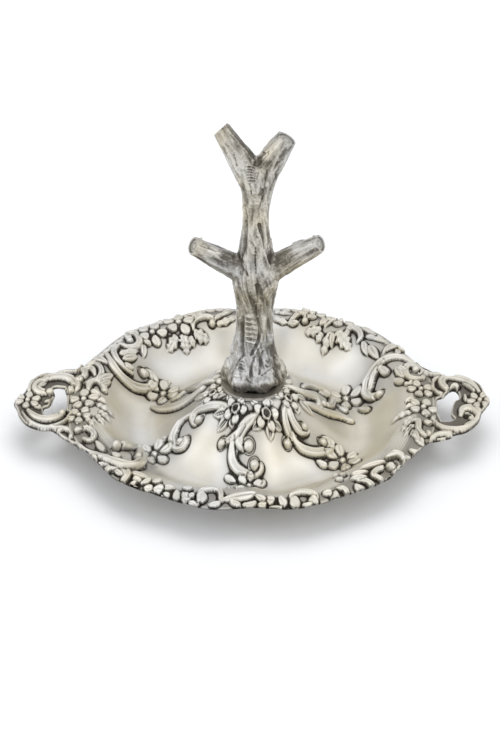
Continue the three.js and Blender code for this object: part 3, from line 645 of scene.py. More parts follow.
def raiseRegion(field, region):
    least = region.get("leastShare", 0)
    for key, inward in (("scrolls", 0), ("tall", tallInward)):
        for width, ball, pixels in region.get(key, []):
            raiseScroll(field, laid(pixels, max(0, least - inward)), width, formHeight[key], ball)
    for width, veins, base, tip in region.get("leaves", []):
        raiseLeaf(field, *laid([base, tip], least), width, formHeight["leaves"], veins)
    for width, base, tip in region.get("hollows", []):
        raiseLeaf(field, *laid([base, tip]), width, formHeight["hollows"], hollow=True)
    for width, base, tip in region.get("petals", []):
        raisePetal(field, *laid([base, tip], least), width, formHeight["petals"])
    for key in ("flowers", "pierced"):
        for radius, petals, turn, middle in region.get(key, []):
            raiseFlower(field, sheetPlace(middle), radius, petals, turn, formHeight[key], key == "pierced")
    for radius, middle in region.get("pits", []):
        sinkPit(field, sheetPlace(middle), radius)
    for start, end, width in region.get("lines", []):
        hatch(field, laid([start, end]), width)


def raiseSlanted(field, leaf, angle, radius):
    # one leaf of a row round the tray, turned partly outward and partly along the row
    out = np.array([math.cos(angle), math.sin(angle)])
    heading = leaf["outward"] * out + leaf["around"] * np.array([-out[1], out[0]])
    middle = out * radius
    reach = heading / np.hypot(*heading) * leaf["length"] / 2
    raiseLeaf(field, middle - reach, middle + reach, leaf["width"], leaf["height"])


def raiseOrnament(field):
    for angle in np.arange(collarLeaves["count"]) * 2 * math.pi / collarLeaves["count"]:
        raiseSlanted(field, collarLeaves, angle, collarLeaves["radius"])
    for degrees in np.linspace(edgeLeaves["first"], edgeLeaves["last"], edgeLeaves["count"]):
        angle = math.radians(degrees)
        raiseSlanted(field, edgeLeaves, angle, rimRadius(angle) * edgeLeaves["share"])
    # the spoke behind the tree, which the photo hides, repeats the front one turned half round
    behind = {"x": -field["x"], "y": -field["y"], "height": field["height"]}
    raiseRegion(behind, relief["frontSpoke"])
    for region in relief.values():
        raiseRegion(field, region)


# Rings of the tray: rows of points at shares of the rim radius

def gridPiece(name, rows, normals, oxideAndShade, firstStep, columns):
    # rows[row, step] are places round the middle. A part of the ring is closed from its underside to its
    # top and filled at both ends; a whole ring runs from the middle of its top to the middle underneath.
    count, steps = oxideAndShade.shape
    isPart = columns < steps
    segments = count if isPart else count - 1
    bm = bmesh.new()
    bmesh.ops.create_grid(bm, x_segments=columns, y_segments=segments, size=0.5)
    oxideAndShadeLayer = bm.verts.layers.float.new("oxideAndShade")
    outwardLayer = bm.verts.layers.float_vector.new("outward")
    flat = readPlaces(bm.verts)
    column = (np.round((flat[:, 0] + 0.5) * columns).astype(int) + firstStep) % steps
    row = np.round((flat[:, 1] + 0.5) * segments).astype(int) % count
    for vert, place, value, outward in zip(bm.verts, rows[row, column], oxideAndShade[row, column],
                                           normals[row, column]):
        vert.co = place
        vert[oxideAndShadeLayer] = value
        vert[outwardLayer] = outward
    bmesh.ops.remove_doubles(bm, verts=bm.verts, dist=1e-5)
    if isPart:
        ends = [edge for edge in bm.edges if edge.is_boundary]
        bmesh.ops.holes_fill(bm, edges=ends, sides=0)
    bmesh.ops.recalc_face_normals(bm, faces=bm.faces)
    outward = [tuple(vert[outwardLayer]) for vert in bm.verts]
    bm.verts.layers.float_vector.remove(outwardLayer)
    piece = addPiece(name, bm)
    piece.data.normals_split_custom_set_from_vertices(outward)
    return piece


def ringNormals(rows, topCount):
    # the upper and the lower surface each have their own, so the edge between them stays crisp
    normals = np.empty_like(rows)
    for part in (slice(0, topCount), slice(topCount, None)):
        along = np.roll(rows[part], -1, axis=1) - np.roll(rows[part], 1, axis=1)
        normals[part] = np.cross(np.gradient(rows[part], axis=0), along)
    size = np.linalg.norm(normals, axis=-1, keepdims=True)
    return np.where(size > 1e-9, normals / np.maximum(size, 1e-9), (0, 0, 1))


def blurRings(grid, radii, reach):
    # round each ring by its frequencies, then across the rings
    steps = grid.shape[1]
    rate = np.fft.rfftfreq(steps)
    cells = reach / (2 * np.pi * np.maximum(radii, 0.5) / steps)
    passed = np.exp(-0.5 * (2 * np.pi * rate[None, :] * cells[:, None]) ** 2)
    blurred = np.fft.irfft(np.fft.rfft(grid, axis=1) * passed, n=steps, axis=1)
    weight = np.exp(-0.5 * ((radii[:, None] - radii[None, :]) / reach) ** 2) * np.gradient(radii)[None, :]
    return (weight / weight.sum(axis=1, keepdims=True)) @ blurred


def makeRing(shares, lowShares, steps):
    # rows of the upper surface and then of the underside, with how dark each point is and its normal
    shares, lowShares = np.array(shares), np.array(lowShares)
    angles = np.arange(steps) * 2 * np.pi / steps
    reach = rimRadius(angles)
    x, y = shares[:, None] * reach * np.cos(angles), shares[:, None] * reach * np.sin(angles)
    field = {"x": x.ravel(), "y": y.ravel(), "height": np.zeros(x.size)}
    raiseOrnament(field)
    height = field["height"].reshape(x.shape)
    radii = shares * tray["meanRadius"]
    broad, close = (blurRings(height, radii, tray[key]) for key in ("broadBlur", "closeBlur"))
    height = height - tray["moat"] * smoothStep(close, 0.04, 0.3) * (1 - smoothStep(height, 0.02, 0.25))

    # oxide, with painted shade, lies in the creases, and oxide on the ground between the forms; thinner oxide
    # lies on the border's plain edge, and a thinner painted shade round the tree's foot and beside the ornament
    ground = (1 - smoothStep(height, 0.1, 0.4)) * smoothStep(broad, 0.08, 0.4)
    crease = smoothStep(close - height, 0.03, 0.36)
    dark = np.clip(tray["creaseOxideAndShade"] * crease + tray["groundOxide"] * ground, 0, 1)
    plain = 1 - smoothStep(height, 0.05, 0.3)
    foot = 1 - smoothStep(shares, 0.19, 0.235)[:, None]
    outside = smoothStep(shares[:, None] - crestShare(np.arctan2(y, x)), 0.005, 0.04)
    edge = outside * (1 - smoothStep(shares, 0.985, 1))[:, None]
    halo = tray["haloShade"] * smoothStep(blurRings(np.clip(height, 0, 2), radii, tray["haloBlur"]), 0.03, 0.35)
    thin = np.maximum(halo, np.maximum(tray["footShade"] * foot, tray["edgeOxide"] * edge))
    dark = np.maximum(dark, plain * thin)

    # forms that reach the rim bulge out over it a little
    bulge = 1 + 0.35 * height[-1] / tray["meanRadius"] * smoothStep(shares, 0.93, 1)[:, None]
    top = liftedPlaces(x * bulge, y * bulge, height)
    lowRows = np.abs(lowShares[:, None] - shares[None, :]).argmin(axis=1)
    lowX, lowY = lowShares[:, None] * reach * np.cos(angles), lowShares[:, None] * reach * np.sin(angles)
    low = liftedPlaces(lowX, lowY, tray["pressedThrough"] * broad[lowRows] - tray["thickness"])
    rows = np.concatenate([top, low])
    # the underside is evenly darker, a painted shade
    oxideAndShade = np.concatenate([dark, np.full(lowX.shape, tray["undersideShade"])])
    return rows, oxideAndShade, ringNormals(rows, len(shares))


def makeTray():
    meet, low = tray["meetShare"], tray["meetShare"] - tray["meetOverlap"]
    domeShares = [*np.linspace(0, tray["domeTop"], 8),
                  *np.arange(tray["domeTop"] + 0.005, meet + 0.004, tray["domeCell"] / tray["meanRadius"])]
    underside = np.linspace(domeShares[-1], 0, tray["domeLowRows"])
    rows, oxideAndShade, normals = makeRing(domeShares, underside, tray["domeSteps"])
    normals[-1] = (0, 0, -1)
    pieces = [gridPiece("tray_dome", rows, normals, oxideAndShade, 0, tray["domeSteps"])]
    rimShares = np.linspace(low, 1, tray["borderRows"])
    rows, oxideAndShade, normals = makeRing(rimShares, [*tray["borderLow"], low], tray["borderSteps"])
    rows[0, :, 2] -= tray["borderTuck"]
    quarter = tray["borderSteps"] // 4
    for k, name in enumerate(("back_right", "back_left", "front_left", "front_right")):
        pieces.append(gridPiece("tray_border_" + name, rows, normals, oxideAndShade, k * quarter, quarter))
    return pieces


# Handles: a fine grid trimmed to the outline and the hole

def edgeDistance(x, y, places):
    # how far inside a closed line each point lies, and the way from it to the line
    line = smoothLine([*places, places[0]], 0.25)
    inside = np.zeros(x.shape, bool)
    nearest = np.full(x.shape, np.inf)
    toward = np.zeros((*x.shape, 2))
    for (ax, ay), (bx, by) in zip(line, line[1:]):
        sizeSquared = (bx - ax) ** 2 + (by - ay) ** 2 + 1e-12
        t = np.clip(((x - ax) * (bx - ax) + (y - ay) * (by - ay)) / sizeSquared, 0, 1)
        px, py = ax + t * (bx - ax) - x, ay + t * (by - ay) - y
        apart = np.hypot(px, py)
        closer = apart < nearest
        nearest = np.where(closer, apart, nearest)
        toward[closer] = np.stack([px, py], axis=-1)[closer]
        crosses = (ay > y) != (by > y)
        inside ^= crosses & (x < (bx - ax) * (y - ay) / (by - ay + 1e-12) + ax)
    return np.where(inside, nearest, -nearest), toward


def blurGrid(height, x, y, reach):
    # blur by passing the heights through a coarse grid of the same plan
    cell = 0.2
    columns = ((x - x.min()) / cell).astype(int)
    rows = ((y - y.min()) / cell).astype(int)
    shape = (rows.max() + 1, columns.max() + 1)
    total, count = np.zeros(shape), np.zeros(shape)
    np.add.at(total, (rows, columns), height)
    np.add.at(count, (rows, columns), 1)
    for axis in (0, 1):
        places = np.arange(shape[axis]) * cell
        weight = np.exp(-0.5 * ((places[:, None] - places[None, :]) / reach) ** 2)
        total = np.moveaxis(np.tensordot(weight, total, (1, axis)), 0, axis)
        count = np.moveaxis(np.tensordot(weight, count, (1, axis)), 0, axis)
    return (total / np.maximum(count, 1e-6))[rows, columns]


def makeHandle(name, sign):
    outline, hole = ([(-sign * x, -sign * y) for x, y in handle[key]] for key in ("outline", "hole"))
    cell = handle["cell"]
    width, depth = handle["gridSize"]
    bm = bmesh.new()
    bmesh.ops.create_grid(bm, x_segments=int(width / cell), y_segments=int(depth / cell), size=0.5)
    places = readPlaces(bm.verts)
    x, y = sign * handle["gridMiddle"] + places[:, 0] * width, places[:, 1] * depth
    outer, towardOuter = edgeDistance(x, y, outline)
    inner, towardInner = edgeDistance(x, y, hole)
    snapOuter = np.abs(outer) < handle["snap"] * cell
    snapInner = (np.abs(inner) < handle["snap"] * cell) & ~snapOuter
    moves = np.where(snapOuter[:, None], towardOuter, 0) + np.where(snapInner[:, None], towardInner, 0)
    x, y = x + moves[:, 0], y + moves[:, 1]
    within = np.where(snapOuter | snapInner, 0, np.minimum(outer, -inner))
    field = {"x": x, "y": y, "height": np.zeros(x.size)}
    raiseOrnament(field)
    fall = np.clip(1 - within / handle["edgeRound"], 0, 1)
    drop = handle["edgeDrop"] * (1 - np.sqrt(np.clip(1 - fall ** 2, 0, 1)))
    height = field["height"] * smoothStep(within, -0.3, 0.5) - drop
    # oxide on the ground between the forms, and oxide with painted shade in the creases
    ground = (1 - smoothStep(height, 0.05, 0.45)) * smoothStep(within, 0.2, 0.5)
    crease = smoothStep(blurGrid(height, x, y, tray["closeBlur"]) - height, 0.02, 0.3)
    dark = np.clip(crease + handle["groundOxide"] * ground, 0, 1)
    placed = liftedPlaces(x, y, height)
    covered = np.hypot(x, y) < rimRadius(np.arctan2(y, x))
    placed[:, 2] = np.where(covered, placed[:, 2] - handle["underBorder"], placed[:, 2])
    layer = bm.verts.layers.float.new("oxideAndShade")
    for vert, place, value in zip(bm.verts, placed, dark):
        vert.co = place
        vert[layer] = value
    bm.verts.index_update()
    keep = within >= 0
    gone = [face for face in bm.faces if not all(keep[vert.index] for vert in face.verts)]
    bmesh.ops.delete(bm, geom=gone, context="FACES")
    bmesh.ops.remove_doubles(bm, verts=bm.verts, dist=0.03)
    bmesh.ops.dissolve_degenerate(bm, dist=0.01, edges=bm.edges)
    if sum(face.normal.z for face in bm.faces) < 0:
        bmesh.ops.reverse_faces(bm, faces=bm.faces)
    # the underside is a plain copy one thickness below, joined round the outline and the hole
    under = list(bm.verts)
    bmesh.ops.extrude_face_region(bm, geom=list(bm.faces), use_keep_orig=True)
    places = readPlaces(under)
    flat = liftedPlaces(places[:, 0], places[:, 1], -handle["thickness"])
    for vert, height in zip(under, np.minimum(flat[:, 2], places[:, 2] - handle["leastThickness"])):
        vert.co.z = height
    bmesh.ops.recalc_face_normals(bm, faces=bm.faces)
    return addPiece(name, bm)


trayPieces = makeTray()
print("tray made")
handleLeft, handleRight = makeHandle("handle_left", -1), makeHandle("handle_right", 1)
print("handles made")


# Tree

tree = {
    "axis": [(13.9, 0.44), (25, 0.5), (40, 0.75), (55, 0.85), (66, 1.2), (72, 1.2)],  # height, x of the middle
    # height, radius
    "rows": [(13.75, 5.6), (14.9, 6.5), (16.1, 6.95), (17.2, 6.5), (19.9, 5.2), (22.8, 4.5), (28, 3.95),
             (33.5, 3.95), (37, 4.5), (40, 5.0), (43, 4.6), (46, 3.95), (49, 3.45), (53.5, 2.85), (58, 2.75),
             (62, 3.35), (65.5, 4.2), (67.5, 3.7), (68.8, 2.3), (69.5, 0.9)],
    "depthShare": 0.92,
    "rootSwell": 0.08, "footBottom": 13.7, "footHeight": 9,     # the roots swell less the higher they are
    "voxel": 0.178, "smoothing": 36,
    "barkDepth": 0.26, "grainDepth": 0.06, "pitDepth": 0.12,
    "barkTwist": 0.05,      # radians for each millimetre of height
    # how dark the oxide is, what takes from it and what adds to it, painted shade and painted highlights among
    # them
    "oxideAndShade": 0.84, "barkBright": 0.92, "grainBright": 0.3, "strokeShade": 0.55, "pitShade": 0.5,
    "mostOxideAndShade": 0.82,
    # lean turns the sawn face away from the branch's own direction
    "branches": {
        "upper_left": {"root": (1.1, 0, 63.7), "rootRadius": 3.6, "tip": (-6.35, 0, 76.75), "tipRadius": 1.9,
                       "lean": (-0.4, 0.5, 0)},
        "upper_right": {"root": (0.9, 0, 64.2), "rootRadius": 3.6, "tip": (7.2, 0, 74.4), "tipRadius": 2.12,
                        "lean": (0, 0, 0)},
        "lower_left": {"root": (-0.4, 0, 41.6), "rootRadius": 3.2, "tip": (-12.4, 0, 48.5), "tipRadius": 1.92,
                       "lean": (0, -0.3, 0)},
        "lower_right": {"root": (1.2, 0, 41.1), "rootRadius": 3.3, "tip": (14.35, 0, 49.07),
                        "tipRadius": 1.92, "lean": (0, -0.3, 0)},
    },
    "beyondCut": 2.0,       # how far a branch is drawn past the place where it is sawn off
    "ringWidth": 0.45, "recess": 0.35, "cutOxide": 0.06, "recessOxide": 0.7,
    "strokeDepth": 0.42,    # of a stroke of strength 1
    # strength (cuts are negative), width at the start and at the end in pixels, places in the photo
    "stroke": {
        "upperLeft": [
            (-1, 1.6, 1.2, [(233.8, 155), (237.2, 166)]), (-0.8, 1.8, 1.2, [(224, 147.5), (227.2, 153.5)]),
            (-0.7, 2.2, 2.2, [(227.5, 126), (238.6, 139), (252, 156)]),
            (-0.6, 1.8, 1.8, [(230, 134), (240.5, 146.6), (251, 160)]),
            (-0.7, 2.2, 2.2, [(233, 130), (244.3, 142.8), (254, 155)]),
            (-0.35, 1.8, 1.5, [(226, 143.7), (233.8, 152), (242.4, 160), (249, 163)]),
            (0.5, 2, 2, [(228.5, 131), (238, 144), (249.5, 158.5)]),
            (-0.4, 1.2, 1.2, [(219, 139), (224, 147)]),
            (0.4, 2.5, 2.5, [(222, 140), (231, 156), (237, 172)]),
        ],
        "upperRight": [
            (-0.5, 1.6, 1.6, [(254.5, 157.5), (266, 146), (279.5, 133.5)]),
            (0.7, 2.6, 2.6, [(258, 157.5), (268, 149.5), (281, 138)]),
            (-0.6, 11, 9, [(259, 164.5), (269, 163.5)]),
            (-0.7, 2.6, 2.6, [(267, 170), (266, 180), (264, 192)]),
            (0.8, 2.2, 2.2, [(274, 168), (271, 176), (268, 183)]),
            (-0.8, 2.6, 2.6, [(279.5, 166), (275, 180), (271, 190)]),
            (0.6, 2, 2, [(277, 155), (279.7, 164)]), (0.5, 1.8, 1.8, [(284, 152), (278, 166)]),
        ],
        "upperTrunk": [
            (-1, 1.5, 1.2, [(249.6, 184.5), (251.6, 195)]), (-0.6, 1.4, 1.2, [(262, 190), (264.5, 197)]),
            (-0.9, 1.6, 1.2, [(262.3, 199), (259.6, 209)]), (-0.9, 1.6, 1.3, [(245, 206.5), (247.4, 219)]),
            (0.5, 1.5, 1.5, [(243, 206), (244.6, 218)]), (-0.4, 1.2, 1.2, [(242.2, 190), (244.3, 201)]),
            (0.5, 1.8, 1.8, [(258.5, 210), (263.8, 221)]), (0.5, 2, 2, [(265.5, 196), (266.5, 212)]),
            (-0.5, 1.8, 1.8, [(258.5, 172), (256.5, 184)]), (0.5, 2, 2, [(261, 174), (257.5, 194)]),
            (-0.35, 3, 3, [(241, 172), (244, 190)]),
            (-0.5, 2, 2, [(268.5, 205), (269.8, 225), (271.5, 240)]),
        ],
        "knots": [
            (-1.3, 5.2, 5, [(259.3, 225.5), (260.2, 228)]),
            (-1.2, 4.4, 1.2, [(260.4, 229), (262.5, 236), (264.2, 248)]),
            (0.7, 1.8, 1.8, [(264, 222), (265.5, 232), (267, 243)]),
            (0.6, 1.6, 1.6, [(256.5, 222), (258, 232)]), (-1, 2, 2, [(256.8, 236.8), (257.8, 238)]),
            (-0.9, 1.4, 1.4, [(249, 240.5), (254.4, 246.5)]), (-1.2, 4.8, 4, [(256.6, 286), (257, 289)]),
            (-1.1, 3.8, 1, [(257, 290), (257.4, 296), (257.7, 302)]),
            (0.6, 1.8, 1.8, [(253, 285), (256.5, 282.5), (261, 285)]),
        ],
        "middle": [
            (-0.7, 4.5, 5, [(246.3, 222), (245, 240), (242, 256)]),
            (-0.9, 3, 3, [(241.5, 267), (247.2, 275.5)]),
            (0.7, 3.4, 3.6, [(222.5, 274.5), (229, 272), (238.5, 266), (243, 259), (247, 251)]),
            (0.7, 3.4, 3.4, [(269.5, 258), (271.5, 268), (276, 269), (281, 275), (285, 275)]),
            (1, 3.6, 3, [(274.5, 270), (277, 271)]), (0.6, 2.6, 2.6, [(250, 252), (246, 262)]),
            (-0.6, 17, 15, [(227, 258), (237, 262)]), (-0.4, 5, 5, [(199, 255.5), (212, 260), (226, 266)]),
            (-0.6, 15, 17, [(276, 261), (287, 260)]), (-0.4, 5, 5, [(286, 263), (298, 259), (312, 252.5)]),
            (0.8, 3.4, 3, [(200.5, 243), (209, 246), (217, 249)]),
            (-0.7, 1.5, 1.5, [(208.5, 247.5), (216, 251)]),
            (-0.5, 1.4, 1.4, [(203, 239.5), (222, 247), (236, 246)]),
            (0.8, 4, 3.6, [(294, 250), (304, 246.5), (314, 243.5)]),
            (-0.6, 1.5, 1.5, [(272, 243), (281, 246), (297, 242)]),
            (-0.5, 1.4, 1.4, [(291, 246), (312, 238.5)]),
            (-0.6, 1.6, 1.6, [(262, 291.5), (268.3, 285.5), (276, 280)]),
            (0.5, 1.6, 1.6, [(264, 294), (271, 288), (276, 284)]),
            (-0.5, 1.5, 1.5, [(268, 298), (273, 290)]), (-0.5, 1.6, 1.6, [(240.5, 288), (244, 302)]),
        ],
        "lower": [
            (-0.8, 1.8, 2.2, [(257, 303), (255.8, 311), (256.6, 320)]),
            (-1, 4.2, 3.4, [(257.7, 320), (259.8, 331), (257.8, 341), (254, 350), (251, 356)]),
            (-0.6, 3.6, 3.6, [(242.6, 318), (242.6, 338), (243.2, 356)]),
            (0.8, 2.4, 2.6, [(240.2, 318), (239.6, 346)]),
            (0.8, 3.4, 3.6, [(265, 318), (263, 334), (260, 344), (254, 354), (248, 363), (246, 376)]),
            (-1, 2.4, 2.6, [(255, 357), (251.5, 366), (250, 378)]),
            (0.7, 2.6, 2.6, [(258.5, 356), (255, 366), (253.5, 376)]),
            (-0.9, 3, 3, [(263, 352), (261, 362), (259.5, 374)]),
            (-0.9, 3.4, 4.4, [(272.5, 346), (275, 360), (277.5, 376)]),
            (0.7, 2.6, 2.6, [(269, 340), (269.5, 356), (272, 372)]),
            (0.7, 2.8, 2.8, [(281, 362), (285.5, 376)]),
            (0.8, 4, 4, [(226, 367), (232, 354), (237.5, 340)]),
            (-0.8, 2.4, 2.6, [(231, 374), (237, 364), (242.5, 356)]), (1, 9, 9, [(236, 377), (237.5, 379)]),
            (0.9, 5, 5, [(260, 383), (270, 378)]), (-0.6, 2, 2, [(262, 376), (270, 370)]),
            (-0.8, 1.6, 1.6, [(266, 361), (269, 363)]), (-0.8, 1.6, 1.6, [(265.5, 366), (269, 367.5)]),
            (-0.8, 11, 11, [(238, 388), (255, 390.5), (272, 388)]),
            (-0.5, 1.6, 1.6, [(268, 320), (267, 338)]), (-0.6, 2, 2, [(246, 380), (252, 384)]),
        ],
    },
    # darker areas of painted shade (or, below zero, brighter areas of painted highlight): amount, width in
    # pixels, places in the photo
    "paintedLightAndShade": [
        (-0.6, 15, [(261, 153), (281, 137)]), (0.45, 12, [(258, 164), (270, 163), (283, 151)]),
        (0.35, 9, [(234, 130), (253, 157)]), (-0.2, 11, [(222, 140), (238, 180)]),
        (0.3, 8, [(248, 155), (262, 158)]), (0.25, 8, [(268, 172), (262, 192)]),
        (0.3, 7, [(244, 222), (240, 258)]), (0.4, 22, [(224, 257), (238, 262)]),
        (0.4, 22, [(274, 262), (290, 258)]), (-0.45, 13, [(199, 245), (216, 252)]),
        (-0.5, 13, [(296, 249), (315, 243)]), (0.3, 8, [(270, 215), (274, 250)]),
        (-0.25, 8, [(262, 320), (250, 372)]), (-0.8, 11, [(236, 376), (239, 384)]),
        (0.35, 6, [(253, 366), (250, 384)]), (-0.6, 7, [(259, 384), (272, 379)]),
        (0.35, 8, [(273, 352), (278, 382)]), (-0.6, 5, [(281, 362), (286, 378)]),
        (-0.7, 6, [(226, 370), (238, 346)]), (0.5, 13, [(234, 390), (255, 394), (276, 390)]),
    ],
    # rows of short bars across the trunk: first and last middle, half length, slant, count, width
    "ladders": [((251.3, 166), (252.2, 182.5), 3.8, 0.6, 7, 1.5),
                ((251, 317.5), (251.5, 342), 4.8, 1.3, 6, 2.6), ((243.2, 361), (240.8, 370), 2.6, 1.2, 4, 1.3)],
    "pitChain": ((255.2, 249), (255.6, 273), 8),    # first, last, count
    "stippled": ((259, 297), (17, 22)),     # middle and half size
}

disc = {
    "overlap": 0.06,        # how far it reaches under the bright ring round it
    "depth": 0.25,          # of its face below the sawn end
    # share of the radius, height
    "profile": [(0, 0.03), (0.1, 0.03), (0.2, 0.03), (0.32, 0.02), (0.44, -0.03), (0.56, 0.02), (0.78, 0.03),
                (0.9, 0.0), (1, -0.06), (1, -0.5), (0, -0.5)],
    # share of the radius, how dark the oxide is
    "oxideAndShade": [(0, 0.2), (0.2, 0.15), (0.34, 0.2), (0.44, 0.6), (0.55, 0.3), (0.78, 0.25), (0.88, 0.3),
              (1, 0.8)],
}


def axisAt(z):
    return float(np.interp(z, *zip(*tree["axis"])))


def branchAxis(name):
    # its root, its direction and its length
    branch = tree["branches"][name]
    along = Vector(branch["tip"]) - Vector(branch["root"])
    return Vector(branch["root"]), along.normalized(), along.length


def sawnFace(name):
    branch = tree["branches"][name]
    facing = (branchAxis(name)[1] + Vector(branch["lean"])).normalized()
    return Vector(branch["tip"]), branch["tipRadius"], facing


def roughTree():
    # a spun trunk with a cone for each branch, melted together
    bm = bmesh.new()
    rows = [(radius, z) for z, radius in tree["rows"]]
    spinProfile(bm, [(0, rows[0][1]), *rows, (0, rows[-1][1])])
    for vert in bm.verts:
        angle = math.atan2(vert.co.y, vert.co.x)
        foot = max(0, 1 - (vert.co.z - tree["footBottom"]) / tree["footHeight"])
        swell = 1 + tree["rootSwell"] * foot * math.cos(6 * angle + 0.6)
        vert.co.x = vert.co.x * swell + axisAt(vert.co.z)
        vert.co.y = vert.co.y * swell * tree["depthShare"]
    for name, branch in tree["branches"].items():
        root, heading, length = branchAxis(name)
        slope = (branch["rootRadius"] - branch["tipRadius"]) / length
        whole = length + tree["beyondCut"]
        bmesh.ops.create_cone(bm, cap_ends=True, segments=40, radius1=branch["rootRadius"],
                              radius2=branch["tipRadius"] - slope * tree["beyondCut"], depth=whole,
                              matrix=facingMatrix(root + heading * whole / 2, heading))
    bmesh.ops.recalc_face_normals(bm, faces=bm.faces)
    mesh = bpy.data.meshes.new("rough")
    bm.to_mesh(mesh)
    bm.free()
    rough = bpy.data.objects.new("rough", mesh)
    scene.collection.objects.link(rough)
    remesh = rough.modifiers.new("remesh", "REMESH")
    remesh.mode = "VOXEL"
    remesh.voxel_size = tree["voxel"]
    smooth = rough.modifiers.new("smooth", "SMOOTH")
    smooth.factor = 0.5
    smooth.iterations = tree["smoothing"]
    solid = bpy.data.meshes.new_from_object(rough.evaluated_get(bpy.context.evaluated_depsgraph_get()))
    bpy.data.objects.remove(rough)
    return solid


def ridged(place, scale):
    scaled = Vector((place[0] * scale[0], place[1] * scale[1], place[2] * scale[2]))
    return 1 - 2 * abs(noise.noise(scaled))


def furrows(place):
    # broad furrows with narrow ones in them
    return ridged(place, (0.75, 0.75, 1)) * 0.6 + ridged(place, (1.9, 1.9, 1.7)) * 0.4


def barkStreaks(place, axes):
    # streaks run up the trunk and out along each branch, and blend where a branch leaves the trunk
    total, weight = 0.0, 0.0
    for number, (root, heading, length) in enumerate(axes):
        out = (place - root).dot(heading)
        apart = ((place - root) - heading * out).length
        share = float(smoothStep(out / length, 0.15, 0.6) * (1 - smoothStep(apart, 3.2, 4.6)))
        if share > 0:
            side = heading.cross(Vector((0, 1, 0)))
            total += share * furrows(Vector(((place - root).dot(side), place.y, out * 0.14 + 7 * number)))
            weight += share
    if weight < 1:
        twist = tree["barkTwist"] * (place.z - 14)
        across, depth = place.x - axisAt(place.z), place.y
        turned = Vector((across * math.cos(twist) - depth * math.sin(twist),
                         across * math.sin(twist) + depth * math.cos(twist), place.z * 0.15))
        total += (1 - weight) * furrows(turned)
    return total


def photoPixels(places):
    # where the photo's camera sees each place; the back of the tree repeats the front
    elevation = math.radians(camera["elevation"])
    lift = places[:, 2] - camera["target"][2]
    y = -np.abs(places[:, 1])
    away = camera["distance"] + y * math.cos(elevation) - lift * math.sin(elevation)
    up = y * math.sin(elevation) + lift * math.cos(elevation)
    return (camera["targetPixel"][0] + camera["focal"] * places[:, 0] / away,
            camera["targetPixel"][1] - camera["focal"] * up / away)


def evenly(start, end, count):
    return [(start[0] + (end[0] - start[0]) * k / (count - 1), start[1] + (end[1] - start[1]) * k / (count - 1))
            for k in range(count)]


def treeStrokes():
    strokes = [stroke for group in tree["stroke"].values() for stroke in group]
    for first, last, reach, slant, count, width in tree["ladders"]:
        bar, gap = (1.2, 1.3 * width), (-0.75, 0.7 * width)
        for k, (u, v) in enumerate(evenly(first, last, 2 * count - 1)):
            strength, across = gap if k % 2 else bar
            strokes.append((strength, across, across, [(u - reach, v - slant), (u + reach, v + slant)]))
    strokes += [(-1, 2.4, 2, [(u, v - 0.6), (u + 0.3, v + 0.8)]) for u, v in evenly(*tree["pitChain"])]
    return strokes


def strokeRelief(places):
    # how far each place is raised or cut, how dark it is, painted shade and highlights included, and how rough
    u, v = photoPixels(places)
    relief, dark = np.zeros(len(u)), np.zeros(len(u))
    for strength, startWidth, endWidth, points in treeStrokes():
        line = smoothLine(points, 0.5)
        near = pointsNear({"x": u, "y": v}, line, max(startWidth, endWidth))
        if not len(near):
            continue
        widths = np.linspace(startWidth, endWidth, len(line)) / 2
        t = (distances(u[near], v[near], line) / widths).min(axis=1)
        bell = 1 - smoothStep(t, 0.25, 1.15)
        if strength < 0:
            relief[near] = np.minimum(relief[near], strength * bell)
            dark[near] = np.maximum(dark[near], -strength * bell)
        else:
            relief[near] += strength * bell * (1 - dark[near])
            dark[near] -= 0.6 * strength * bell
    # painted shade and painted highlights over areas of the bark
    for amount, width, points in tree["paintedLightAndShade"]:
        line = smoothLine(points, 1)
        apart = distances(u, v, line).min(axis=1)
        dark += amount * (1 - smoothStep(apart / (width / 2), 0.1, 1.25))
    (middleU, middleV), (halfWidth, halfHeight) = tree["stippled"]
    stipple = 1 - smoothStep(np.hypot((u - middleU) / halfWidth, (v - middleV) / halfHeight), 0.6, 1)
    return relief, dark, stipple


def shrinkLoop(bm, loop, centre, facing, radius, roundness, shift):
    # one more ring inside the loop, drawn towards a true circle
    grown = bmesh.ops.extrude_edge_only(bm, edges=loop)["geom"]
    fresh = {item for item in grown if isinstance(item, bmesh.types.BMVert)}
    reach = sum((vert.co - centre).length for vert in fresh) / len(fresh)
    layer = bm.verts.layers.float["oxideAndShade"]
    for vert in fresh:
        vert[layer] = tree["cutOxide"] if shift > 0 else tree["recessOxide"]
        out = vert.co - centre
        out -= facing * out.dot(facing)
        share = (1 - roundness) * out.length / reach + roundness
        vert.co = centre + out.normalized() * radius * share + facing * shift
    return [item for item in grown if isinstance(item, bmesh.types.BMEdge) and fresh.issuperset(item.verts)]


def sawEnd(bm, name):
    # the branch is cut off, and inside the cut a bright ring stands round the recess for its disc
    tip, tipRadius, facing = sawnFace(name)
    close = [face for face in bm.faces if (face.calc_center_median() - tip).length < 5.5]
    geom = close + list({edge for face in close for edge in face.edges}) \
        + list({vert for face in close for vert in face.verts})
    cut = bmesh.ops.bisect_plane(bm, geom=geom, dist=1e-4, plane_co=tip, plane_no=facing, clear_outer=True)
    loop = [edge for edge in cut["geom_cut"] if isinstance(edge, bmesh.types.BMEdge)]
    corners = {vert for edge in loop for vert in edge.verts}
    centre = sum((vert.co for vert in corners), Vector()) / len(corners)
    inner = tipRadius - tree["ringWidth"]
    for radius, roundness, shift in ((tipRadius * 0.95, 0.2, 0.1), (inner + 0.14, 0.7, 0.1), (inner, 1, -0.02),
                                     (inner - 0.03, 1, -tree["recess"])):
        loop = shrinkLoop(bm, loop, centre, facing, radius, roundness, shift)
    bmesh.ops.contextual_create(bm, geom=loop)


